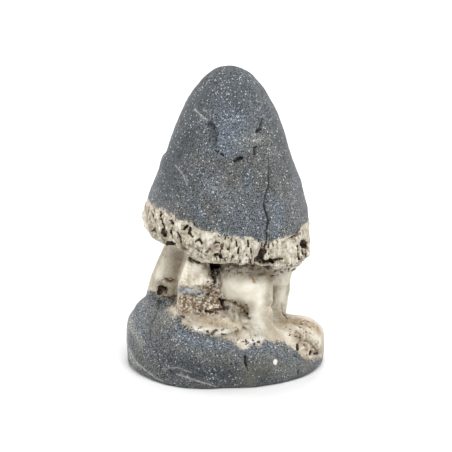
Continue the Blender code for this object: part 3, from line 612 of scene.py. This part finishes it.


# Crumbly patches: place on the sheet, width, height, size of the lumps, their rise, and dirt with painted
# shade.
CRUMBLY = (
    ((40.3, 6.6), 9, 9, 1.4, 0.5, 0.6), ((11.4, 10), 14, 5, 1.3, 0.5, 0.7),
    ((5.2, 23.7), 12, 13, 1.9, 0.6, 0.4), ((-8.1, 15.2), 21, 6, 1.3, 0.4, 0.5),
    ((-10.4, 20.4), 27, 8, 2.2, 0.4, 0.2), ((8.1, 16.6), 17, 10, 2, 0.4, 0.3),
    ((-7.6, 34.2), 8.5, 8, 1.5, 0.6, 0.5), ((-6.2, 37), 6, 10, 1.6, 0.5, 0.3),
    ((10, 44.6), 22, 5, 1.4, 0.7, 0.5), ((20.9, 44.1), 13, 8, 1.6, 0.5, 0.4),
    ((-0.5, 43.2), 12, 6, 1.6, 0.5, 0.4), ((-28, 36.1), 9, 9, 1.6, 0.4, 0.3),
    ((-14.2, 35.6), 17, 2.6, 0.9, 0.4, 0.6), ((27, 30.8), 11, 22, 1.5, 0.15, 0.15),
    ((-28.9, 44.1), 14, 16, 1.7, 0.2, 0.15), ((35.1, 15.7), 17, 10, 1.6, 0.3, 0.25),
)


def fibre_block(clay):
    """The block's upright fibres, and the slate under it: both known by their outlines."""
    block = depth_inside(clay, BLOCK)
    share = between(block, -0.3, 0.5)
    fibres = lumpy(clay.points * [1, 1, 0.12], 0.9, 131) + 0.6 * lumpy(clay.points * [1, 1, 0.2], 0.5, 132)
    clay.points += clay.normals * (0.16 * share * fibres)[:, None]
    clay.paints["block"] = block
    slate = depth_inside(clay, SLATE)
    flakes = lumpy(clay.points * [0.3, 0.3, 1], 0.8, 133)
    clay.points += clay.normals * (between(slate, -0.3, 0.4) * (0.35 + 0.2 * flakes))[:, None]
    clay.paints["slate"] = slate


def roughen(clay, share, size, height, seed, dirt_and_shade):
    """Crumbly ground: uneven lumps, with small brown holes between them."""
    picked = np.flatnonzero(share > 0.02)
    some = clay.points[picked]
    ragged = some + 0.5 * size * warp(some, size * 1.4, seed)
    lumps = 0.7 * lumpy(ragged, size, seed + 5) + 0.5 * lumpy(ragged, size * 0.45, seed + 6)
    hole = lowest(lumps, 0.12)
    clay.push(picked, height * share[picked] * (lumps - hole))
    clay.paint("dirt_and_shade", picked, dirt_and_shade * hole ** 2 * share[picked])


# What is painted one by one: width, strength and raggedness, then the path on the sheet.
PAINTED = {
    "sound": (
        (15, 1.5, 0.2, ((0.9, 35.6), (5.7, 34.6), (9.5, 33.7), (14.2, 32.7))),
        (9, 1, 0.2, ((14.2, 32.7), (15.7, 28))), (9, 0.6, 0.2, ((15.7, 28), (15.7, 18.5))),
        (10, 0.8, 0.3, ((-28.9, 47), (-31.8, 40.8))),
        (4, 0.6, 0.3, ((-39.9, 76.4), (-40.3, 69.3), (-39.4, 65))),
        (6.5, 0.6, 0.3, ((30.4, 54.6), (30.4, 48.9), (28.5, 42.2))),
        (8, 0.5, 0.3, ((-26.6, 47), (-29.9, 42.2))), (8, 0.4, 0.3, ((27, 13.8), (30.8, 10))),
        (5, 0.7, 0.3, ((-25.6, 25.6), (-23.3, 23.7))),
        (9, 0.9, 0.3, ((31.3, 44.1), (27.5, 37.5), (26.6, 28))),
    ),
    # Brown stains, and painted shade under the band's overhang, beside the bulge and on the pillars' tops.
    "umber_stain_and_shade": (
        (6, 0.45, 0.6, ((-37, 73.5), (-36.5, 67.9), (-34.6, 61.7))),
        (4, 0.75, 0.4, ((-8.1, 45.1), (-7.1, 41.3), (-5.7, 37.5))),
        (6, 1, 0.4, ((-9.5, 44.6), (-5.2, 44.1))),
        (4.2, 0.95, 0.7, ((-3.6, 46), (-2.8, 42.2), (-2.4, 36.5))),
        (3.2, 1, 0.7, ((-6.2, 45.1), (-1.9, 45.1), (2.4, 45.6))),
        (2, 0.7, 0.9, ((-0.9, 44.1), (-1.2, 38.9))),
        (4, 0.85, 0.8, ((12.3, 46.5), (13.3, 44.1), (17.1, 44.1))),
        (2.2, 0.8, 0.9, ((0, 46.5), (6.6, 46.7))), (2.6, 0.6, 0.9, ((9, 46), (10.4, 43.2), (11.4, 40.8))),
        (3, 0.25, 0.9, ((0, 41.8), (1.4, 39.4))), (2.2, 0.7, 0.4, ((-1.9, 42.2), (-1.7, 38.4))),
        (3, 0.5, 0.4, ((-1.9, 44.1), (-1.4, 39.9))), (2.6, 0.6, 0.4, ((-16.1, 47.4), (-10.4, 47))),
        (1.2, 0.4, 0.4, ((-21.8, 36.3), (-18, 36.1), (-13.8, 36.1), (-7.6, 36.1))),
        (5.5, 0.25, 0.4, ((-24.7, 51.2), (-21.4, 49.3), (-18, 48.4))),
        (6, 0.6, 0.4, ((-31.3, 37.5), (-28.5, 34.6), (-28.9, 32.3))),
        (3.5, 0.5, 0.4, ((-27.5, 38.4), (-24.2, 38))), (4, 0.5, 0.4, ((-28.5, 30.4), (-23.7, 30.8))),
        (12, 0.6, 0.4, ((29.4, 19), (36.1, 18.5), (43.7, 15.7))),
        (13, 0.75, 0.4, ((35.1, 11.4), (40.8, 7.1))),
        (8, 0.3, 0.4, ((-19.9, 22.3), (-10.4, 20.4), (-1.9, 17.6))),
        (5, 0.75, 0.4, ((12.3, 44.1), (16.1, 44.1), (19.9, 44.6))),
        (5.5, 0.6, 0.4, ((4.7, 26.1), (8.1, 22.8))), (5, 0.45, 0.4, ((-1.9, 27.5), (0, 23.3), (2.8, 20.4))),
        (4, 0.7, 0.4, ((37.5, 52.7), (37.5, 47.9))), (4, 0.4, 0.4, ((26.1, 56), (28, 53.1))),
        (8, 0.5, 0.4, ((34.2, 11.9), (38.9, 7.1), (42.7, 3.3))),
        (6, 0.6, 0.4, ((-9, 34.6), (-4.7, 32.7), (-3.3, 28.9))),
        (4.5, 0.7, 0.4, ((-29.9, 70.7), (-29.4, 65), (-28.5, 59.3))),
        (3.5, 0.5, 0.4, ((-19.9, 56), (-12.3, 54.1), (-6.6, 53.1))),
        (6, 0.6, 0.5, ((-38, 73.5), (-37, 66.9))), (4.5, 0.7, 0.5, ((32.3, 19.9), (38, 19), (42.7, 17.1))),
        (9, 0.75, 0.4, ((37, 10.9), (40.8, 7.6), (43.7, 3.8))),
        (3.5, 0.4, 0.6, ((-13.8, 15.2), (-6.6, 13.8), (0, 12.8))),
    ),
    "tan": (
        (11, 0.7, 0.3, ((-10.4, 20.4), (-1.9, 18.5), (6.6, 16.6))),
        (5, 0.6, 0.2, ((20.9, 40.3), (21.4, 30.8), (20.9, 22.3))),
        (11, 1.2, 0.2, ((28.5, 18.5), (35.1, 18.5), (42.7, 14.7))),
    ),
    "bluish": (
        (26, 1, 0.4, ((4.3, 126.2), (2.8, 118.2), (1.9, 109.6), (0.9, 102.5))),
        (12, 0.9, 0.4, ((-9.5, 84.9), (-6.6, 80.2))), (10, 0.8, 0.4, ((10.4, 87.8), (9.5, 81.1))),
        (8, 0.9, 0.4, ((24.7, 74), (24.2, 66), (22.8, 61.2))),
        (8, 1, 0.4, ((-22.8, 14.7), (-17.1, 10.9), (-9.5, 9), (-1.9, 8.5))),
        (8, 0.7, 0.4, ((-14.7, 74), (-10.9, 67.9))),
    ),
    # Painted shade, with the rock's own darker tone, on the cap's top and sides and on the base's front.
    "dull_tone_and_shade": (
        (32, 1.2, 0.3, ((-10.4, 129.5), (-17.1, 115.3), (-22.8, 102), (-27.5, 87.8))),
        (34, 0.85, 0.3, ((0, 140), (3.8, 133.3), (4.7, 124.8))),
        (14, 0.6, 0.3, ((19, 119.1), (25.6, 102), (29.4, 85.9))),
        (14, 0.5, 0.3, ((-12.3, 85.9), (-26.6, 78.8))),
        (17, 1, 0.3, ((-25.6, -1.4), (-10, -5.2), (6.6, -6.2), (17.1, -6.2))),
        (9, 0.4, 0.3, ((5.7, 90.6), (12.3, 85.9))),
    ),
    # Pale dust on the base and cap; along the base's left edge it is painted light, a bright rim.
    "dust_and_rim_light": (
        (9, 1, 0.4, ((-45.6, 20.4), (-47.4, 12.3), (-47, 5.2), (-43.7, -0.9))),
        (10, 0.35, 0.4, ((-38, 26.1), (-31.3, 24.2), (-26.6, 20.4))),
        (8, 0.2, 0.4, ((-21.8, 5.2), (-12.3, 4.3))),
        (9, 0.3, 0.9, ((6.6, 100.1), (11.4, 103), (17.1, 103.9))),
        (12, 0.2, 0.9, ((-10, 84.9), (-1.9, 78.3))),
        (6, 1, 0.4, ((-45.6, 18.5), (-43.2, 12.8), (-40.3, 8.1))),
    ),
    "ochre": (
        (1.6, 1.4, 0.4, ((13, 44.6), (12.3, 40.3), (13.5, 37.5))),
        (1.5, 0.9, 0.4, ((-1.4, 43.2), (-1.2, 38.9))),
        (4.5, 0.7, 0.4, ((17.1, 42.2), (19.5, 40.8), (21.8, 40.8))),
        (3, 0.7, 0.4, ((19, 40.3), (20.9, 38))), (3.6, 1.1, 0.4, ((4.7, 28), (8.1, 26.1), (10.4, 25.1))),
        (4, 0.4, 0.4, ((6.6, 26.1), (9.5, 21.4))),
        (5.5, 0.75, 0.8, ((9, -1.4), (10.9, -5.2), (11.4, -10.9))),
        (10, 0.4, 0.8, ((5.7, -6.2), (11.4, -7.1), (17.1, -6.2))),
        (18, 0.38, 0.5, ((18, -1.4), (27.5, -2.8), (37.5, -1.4))),
    ),
    "white": (
        (4.4, 0.9, 0.4, ((-14.2, 15.7), (-10.4, 15.2), (-5.7, 14.7), (0, 14.2))),
        (4.2, 0.85, 0.4, ((5.7, 9.5), (9, 9.5), (13.3, 10), (17.1, 10.9))),
        (4, 0.5, 0.4, ((-4.7, 38.9), (-4.3, 34.6))),
    ),
    # Dirt with painted shade in the groove on the cap's front.
    "dirt_and_shade": (
        (1.5, 0.5, 0.5, ((-6.9, 111), (-6.2, 108.7), (-6.2, 104.9))),
        (1.2, 0.6, 0.5, ((-6.2, 103.4), (-5.5, 101.1))),
    ),
}


def paint_rocks(clay):
    """Stains, crusts, veins and tints, with painted shade and painted light among them, which colour the
    rocks and hardly raise them.
    """
    for name, rows in PAINTED.items():
        for width, strength, ragged, path in rows:
            clay.dab(name, path, width, strength, ragged)


# --- From clay to the finished piece ----------------------------------


def soften_over(clay, values, rounds):
    """The values evened out between neighbouring points, round by round."""
    mesh = clay.skin.data
    ends = np.empty(len(mesh.edges) * 2, np.int64)
    mesh.edges.foreach_get("vertices", ends)
    a, b = ends.reshape(-1, 2).T
    count = len(values)
    ties = np.bincount(a, minlength=count) + np.bincount(b, minlength=count)
    level = values.copy()
    for _ in range(rounds):
        for k in range(level.shape[1]):
            total = np.bincount(a, level[b, k], count) + np.bincount(b, level[a, k], count)
            level[:, k] = 0.5 * level[:, k] + 0.5 * total / ties
    return level


def mark_hollows(clay):
    """Paints where dirt gathers and where shade is painted: how far each point lies below the smoothed
    surface.
    """
    start = np.column_stack([clay.points, clay.paints["dirt_and_shade"]])
    near = soften_over(clay, start, 10)
    clay.paints["hollow"] = np.einsum("ij,ij->i", near[:, :3] - clay.points, clay.normals)
    far = soften_over(clay, near, 30)
    clay.paints["basin"] = np.einsum("ij,ij->i", far[:, :3] - clay.points, clay.normals)
    clay.paints["halo"] = far[:, 3]


def store_paints(clay):
    """Hands each paint to the material, as an attribute of the skin's points."""
    mesh = clay.skin.data
    for name, values in clay.paints.items():
        held = mesh.attributes.new(name, "FLOAT", "POINT")
        held.data.foreach_set("value", values.astype(np.float32))


def thin_out(skin):
    """Brings the skin down to its number of triangles."""
    mesh = skin.data
    sides = np.empty(len(mesh.polygons), np.int32)
    mesh.polygons.foreach_get("loop_total", sides)
    bpy.ops.object.mode_set(mode="EDIT")
    bpy.ops.mesh.select_all(action="SELECT")
    bpy.ops.mesh.decimate(ratio=min(1.0, TRIANGLES / int((sides - 2).sum())))
    bpy.ops.object.mode_set(mode="OBJECT")


def make_stone():
    """The finished piece: the skin is laid, worked in clay, painted and thinned out."""
    skin = lay_skin("weathered_stone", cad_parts["stone"])
    split_faces(skin, finest(face_middles(skin)))
    split_near(skin, CAP_CUTS + BASE_CUTS + VEINS)
    clay = Clay(skin)
    pale = mark_pale(clay)
    weather(clay, pale)
    pit_band(clay, pale)
    fill_corner(clay)
    clay.keep()
    for width, height, ragged, paths in SWELLINGS:
        clay.swell(paths, width, height, ragged)
    clay.cut(BESIDE_BULGE, 6.0, 1.6, 0.15, 0.5, slope)
    for rows in (CAP_CUTS, BAND_CUTS, UNDERCUT, WAIST_CUTS, BASE_CUTS):
        cut_by_hand(clay, rows)
    crust_block(clay)
    fibre_block(clay)
    for spot, width, height, size, rise, dirt_and_shade in CRUMBLY:
        roughen(clay, patch(clay, *spot, width, height), size, rise, round(90 + 7 * width), dirt_and_shade)
    crumble_behind(clay, pale)
    raise_veins(clay)
    clay.paints["spot"] = depth_inside(clay, SPOT)
    paint_rocks(clay)
    clay.keep()
    clay.paints["pale"] = pale
    mark_hollows(clay)
    store_paints(clay)
    thin_out(skin)
    bpy.ops.object.shade_smooth()
    return skin


# --- Materials --------------------------------------------------------


def linear(hex_colour):
    """The linear value of an sRGB colour written as #rrggbb."""
    parts = [int(hex_colour[i:i + 2], 16) / 255 for i in (1, 3, 5)]
    return (*[p / 12.92 if p <= 0.04045 else ((p + 0.055) / 1.055) ** 2.4 for p in parts], 1)


def add(tree, kind, inputs=(), **settings):
    """Adds a node.  Inputs pairs a socket with a value, or with the socket that feeds it."""
    made = tree.nodes.new(kind)
    for name, value in settings.items():
        setattr(made, name, value)
    for socket, value in dict(inputs).items():
        if isinstance(value, bpy.types.NodeSocket):
            tree.links.new(value, made.inputs[socket])
        else:
            made.inputs[socket].default_value = value
    return made


def weathered_rock():
    """Dark, fine-grained rock with a soft pale rind, both weathered rough and matt.

    The dark rock glitters with pale grains on blue-grey and greenish grey.  The rind is cream,
    nearly polished where it is sound, and brown where dirt has settled in it.  Painted shade darkens
    the hollows of both and the rind under the band, and painted light brightens the base's left edge.
    """
    material = bpy.data.materials.new("weathered_fine_grained_rock")
    material.use_nodes = True
    tree = material.node_tree
    tree.nodes.clear()
    place = add(tree, "ShaderNodeTexCoord").outputs["Object"]

    def painted(name):
        return add(tree, "ShaderNodeAttribute", attribute_name=name).outputs["Fac"]

    def noise_of(size, detail=2, rough=0.5, where=place):
        """Noise whose lumps are about the given size in millimetres."""
        return add(tree, "ShaderNodeTexNoise", {
            "Vector": where, "Scale": 1000 / size, "Detail": detail, "Roughness": rough,
        }).outputs["Fac"]

    def stretched(share):
        """The place with its height scaled down, which draws a pattern out upright."""
        return add(tree, "ShaderNodeMapping", {"Vector": place, "Scale": (1, 1, share)}).outputs[0]

    def calc(operation, a, b, clamp=False):
        return add(tree, "ShaderNodeMath", {0: a, 1: b}, operation=operation, use_clamp=clamp).outputs[0]

    def times(a, b, clamp=False):
        return calc("MULTIPLY", a, b, clamp)

    def plus(a, b, clamp=False):
        return calc("ADD", a, b, clamp)

    def ramp(value, low, high, to_low=0, to_high=1):
        return add(tree, "ShaderNodeMapRange", {
            "Value": value, "From Min": low, "From Max": high, "To Min": to_low, "To Max": to_high,
        }, interpolation_type="SMOOTHSTEP").outputs["Result"]

    def blend(share, low, high, mode="MIX"):
        a = low if isinstance(low, bpy.types.NodeSocket) else linear(low)
        b = high if isinstance(high, bpy.types.NodeSocket) else linear(high)
        mixed = add(tree, "ShaderNodeMix", {0: share, 6: a, 7: b}, data_type="RGBA", blend_type=mode)
        return mixed.outputs[2]

    # Dark rock: blue-grey, neutral and faintly green patches some 15 to 30 mm across, and on them
    # grains of half a millimetre, drawn at 0.7 mm so that they show.
    dark = blend(ramp(noise_of(26), 0.42, 0.62), "#595c5b", "#5c6268")
    dark = blend(ramp(noise_of(15, 3), 0.50, 0.70, 0, 0.7), dark, "#5f5e59")
    dark = blend(painted("bluish"), dark, "#5d6671")
    # Painted shade with a darker tone of the rock: the cap's top and sides and the base's front.
    dark = blend(painted("dull_tone_and_shade"), dark, "#3c4247")
    # Pale dust, and painted light along the base's left edge.
    dark = blend(painted("dust_and_rim_light"), dark, "#8b8c86")
    cell = add(tree, "ShaderNodeTexVoronoi", {"Vector": place, "Scale": 1000 / 0.7})
    grain = add(tree, "ShaderNodeSeparateColor", {0: cell.outputs["Color"]}).outputs
    salt = ramp(noise_of(0.55, 2, 0.7), 0.34, 0.68, 0, 1.72)
    salt = times(salt, ramp(noise_of(3, 3, 0.7), 0.3, 0.7, 0.88, 1.12))
    dark = blend(1, dark, plus(salt, ramp(grain[0], 0, 1, -0.2, 0.2)), "MULTIPLY")
    rich = plus(ramp(noise_of(9, 3), 0.42, 0.62, 0, 0.12), times(painted("bluish"), 0.08))
    uneven = plus(cell.outputs["Distance"], ramp(noise_of(0.5, 1), 0.3, 0.7, -0.3, 0.3))
    crystal = times(ramp(uneven, 0.1, 0.6, 1, 0), ramp(plus(grain[1], rich), 0.86, 1.06))
    dark = blend(times(crystal, 0.85), dark, "#d3d7d9")
    dark = blend(times(painted("ochre"), 0.55), dark, "#827d62")

    # Pale rock: clouded cream, lighter where it is sound and worn smooth.
    cream = blend(ramp(noise_of(11), 0.38, 0.64), "#b5ad9b", "#cec8b9")
    cream = blend(ramp(noise_of(4.5, 4, 0.6), 0.50, 0.78, 0, 0.7), cream, "#998a72")
    cream = blend(ramp(noise_of(2.4, 3, 0.6), 0.56, 0.74, 0, 0.5), cream, "#dedace")
    tan = blend(ramp(noise_of(4, 4, 0.6), 0.35, 0.65), "#ab9a7f", "#ccbfa6")
    cream = blend(painted("tan"), cream, tan)
    sound = blend(ramp(noise_of(6), 0.4, 0.65), "#dcd6c4", "#e9e6db")
    cream = blend(painted("sound"), cream, sound)
    block = blend(ramp(noise_of(1.3, 3, where=stretched(0.14)), 0.35, 0.58), "#ddd0b2", "#f5efe0")
    cream = blend(ramp(painted("block"), -0.25, 0.25), cream, block)
    lumps = add(tree, "ShaderNodeTexVoronoi", {"Vector": place, "Scale": 1000 / 1.0})
    lump = add(tree, "ShaderNodeSeparateColor", {0: lumps.outputs["Color"]}).outputs[0]
    lump = plus(lump, times(painted("nodule"), 0.5))
    lump = plus(lump, ramp(noise_of(3, 3, 0.6), 0.3, 0.7, -0.25, 0.25))
    rotted = blend(ramp(lump, 0.15, 1.05), "#5f4735", "#f0e6cd")
    gaps = plus(lumps.outputs["Distance"], ramp(noise_of(0.9), 0.3, 0.7, -0.15, 0.15))
    gaps = ramp(gaps, 0.38, 0.66, 0, 0.6)
    rotted = blend(gaps, rotted, "#4a372b")
    rotted = blend(ramp(noise_of(2.2, 3, 0.7), 0.5, 0.66, 0, 0.35), rotted, "#6a5145")
    cream = blend(painted("rotted"), cream, rotted)
    sandy = calc("SUBTRACT", 1, painted("sound"), clamp=True)
    speck = times(ramp(noise_of(1.5, 3, 0.7), 0.60, 0.70, 0, 0.55), sandy)
    cream = blend(speck, cream, "#8a7860")
    fine = ramp(noise_of(1, 3, 0.75), 0.34, 0.66, 0.86, 1.10)
    cream = blend(sandy, cream, blend(1, cream, fine, "MULTIPLY"))
    mottled = ramp(noise_of(1.8, 4, 0.7), 0.32, 0.62, 0.35, 1.15)
    stained = times(ramp(noise_of(14), 0.46, 0.66, 0, 0.45), sandy)
    cream = blend(times(stained, mottled), cream, "#8d7a62")
    cream = blend(times(painted("ochre"), mottled, clamp=True), cream, "#957440")
    # Brown stains and painted shade under the band and in the waist's recesses.
    cream = blend(times(painted("umber_stain_and_shade"), mottled, clamp=True), cream, "#6f5a46")
    knobs = noise_of(1.7, 4, 0.65, stretched(0.55))
    cream = blend(times(painted("band"), ramp(knobs, 0.38, 0.50, 0.5, 0)), cream, "#76664c")
    cream = blend(times(painted("band"), ramp(knobs, 0.50, 0.62, 0, 0.75)), cream, "#e9e5d8")
    raised = ramp(painted("hollow"), -0.22, -0.03, 0.7, 0)
    cream = blend(raised, cream, "#e6e0d0")
    # The same painted shade and stains, darkened once more.
    cream = blend(times(painted("umber_stain_and_shade"), 0.5, clamp=True), cream, "#7f6c54")

    # The two meet along a ragged line, across which the grains of both are mixed.
    ragged = plus(ramp(noise_of(5, 3, 0.6), 0.25, 0.75, -1.2, 1.2), painted("pale"))
    ragged = plus(ragged, ramp(noise_of(1, 3, 0.7), 0.3, 0.7, -0.6, 0.6))
    pale = ramp(ragged, -0.9, 0.9)
    colour = blend(pale, dark, cream)
    slate = blend(ramp(noise_of(2.5, 3, 0.6), 0.4, 0.6), "#72777a", "#b4b6b4")
    flaky = plus(painted("slate"), ramp(noise_of(1.4, 3, 0.7), 0.3, 0.7, -0.6, 0.6))
    colour = blend(ramp(flaky, -0.3, 0.3), colour, slate)
    chalk = times(painted("white"), ramp(noise_of(1.6, 3, 0.7), 0.3, 0.55, 0.35, 1.1), clamp=True)
    colour = blend(chalk, colour, "#e6e4dc")
    colour = blend(ramp(painted("spot"), -0.25, 0.25), colour, "#e4e0d4")

    # Dirt and painted shade: a brown bloom round the pits and in the broad hollows under the band, darker
    # in every small hollow, nearly black in the deep.
    bloom = plus(ramp(painted("basin"), 0.08, 1, 0, 0.75), times(painted("halo"), 1.3), clamp=True)
    open_rock = calc("SUBTRACT", 0.9, times(painted("rotted"), 0.6), clamp=True)
    bloom = times(bloom, times(pale, open_rock))
    colour = blend(bloom, colour, "#857460")
    small = ramp(painted("hollow"), 0.02, 0.30, 0, 0.85)
    small = times(small, ramp(pale, 0, 1, 0.35, 1))
    small = plus(small, painted("dirt_and_shade"), clamp=True)
    colour = blend(ramp(small, 0.08, 0.60, 0, 0.85), colour, blend(pale, "#3d3e3d", "#69543d"))
    colour = blend(ramp(small, 0.60, 1, 0, 0.92), colour, blend(pale, "#1d1e1f", "#261b12"))

    # Relief finer than the skin: sand-sized grains.
    height = plus(noise_of(0.8, 3, 0.6), times(grain[2], 0.5))
    height = times(height, ramp(painted("sound"), 0, 1, 1, 0.25))
    bump = add(tree, "ShaderNodeBump", {"Strength": 0.7, "Distance": 0.0003, "Height": height})
    shader = add(tree, "ShaderNodeBsdfPrincipled", {
        "Base Color": colour, "Normal": bump.outputs[0], "Roughness": ramp(pale, 0, 1, 0.62, 0.8),
        "IOR": 1.5,
    })
    add(tree, "ShaderNodeOutputMaterial", {"Surface": shader.outputs[0]})
    return material


# --- Studio -----------------------------------------------------------


def paper():
    """Matt white background paper, rolled smooth: no gloss, and hardly a grain."""
    material = bpy.data.materials.new("matt_white_paper")
    material.use_nodes = True
    tree = material.node_tree
    tree.nodes.clear()
    grain = add(tree, "ShaderNodeTexNoise", {"Scale": 900.0})
    tone = add(tree, "ShaderNodeMix", {0: grain.outputs[0], 6: linear("#dfdfdf"), 7: linear("#e3e3e3")},
               data_type="RGBA")
    shader = add(tree, "ShaderNodeBsdfPrincipled", {"Base Color": tone.outputs[2], "Roughness": 0.9})
    add(tree, "ShaderNodeOutputMaterial", {"Surface": shader.outputs[0]})
    return material


def make_studio():
    """White paper under the stone, a white room round it, and four soft lamps."""
    bpy.ops.object.select_all(action="DESELECT")
    bpy.ops.mesh.primitive_plane_add(size=12)
    floor = bpy.context.object
    floor.name = "floor"
    floor.data.materials.append(paper())

    world = bpy.data.worlds.new("white_room")
    bpy.context.scene.world = world
    world.use_nodes = True
    background = world.node_tree.nodes["Background"].inputs
    background["Color"].default_value = (1, 1, 1, 1)
    background["Strength"].default_value = 0.46

    for name, place, size, power in (
        ("top_softbox", (0.22, -0.68, 1.3), 0.9, 19), ("left_softbox", (-1.2, 0.5, 0.6), 0.8, 11),
        ("right_softbox", (1.3, 0.4, 0.6), 0.8, 8), ("back_softbox", (0, 0.9, 1.3), 0.9, 10),
    ):
        bpy.ops.object.light_add(type="AREA", location=place)
        light = bpy.context.object
        light.name = name
        light.data.size = size
        light.data.energy = power
        aim = Vector((0, 0, 0.07)) - light.location
        light.rotation_euler = aim.to_track_quat("-Z", "Y").to_euler()


def make_camera():
    """A long lens, 20 degrees above the floor and 1.5 metres away."""
    distance, elevation, view_width = 1.5, SHEET_TILT, 0.214474
    aim = Vector((0, 0, 0.0682)) + SHEET_ORIGIN * MM
    back = Vector((0, -math.cos(elevation), math.sin(elevation)))
    bpy.ops.object.camera_add(location=aim + back * distance)
    camera = bpy.context.object
    camera.rotation_euler = (-back).to_track_quat("-Z", "Y").to_euler()
    camera.data.sensor_width = 36
    camera.data.lens = 36 * distance / view_width
    bpy.context.scene.camera = camera


stone = make_stone()
stone.data.materials.append(weathered_rock())
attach(stone, "root")
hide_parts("stone")
make_studio()
make_camera()
bpy.context.scene.view_settings.view_transform = "Standard"
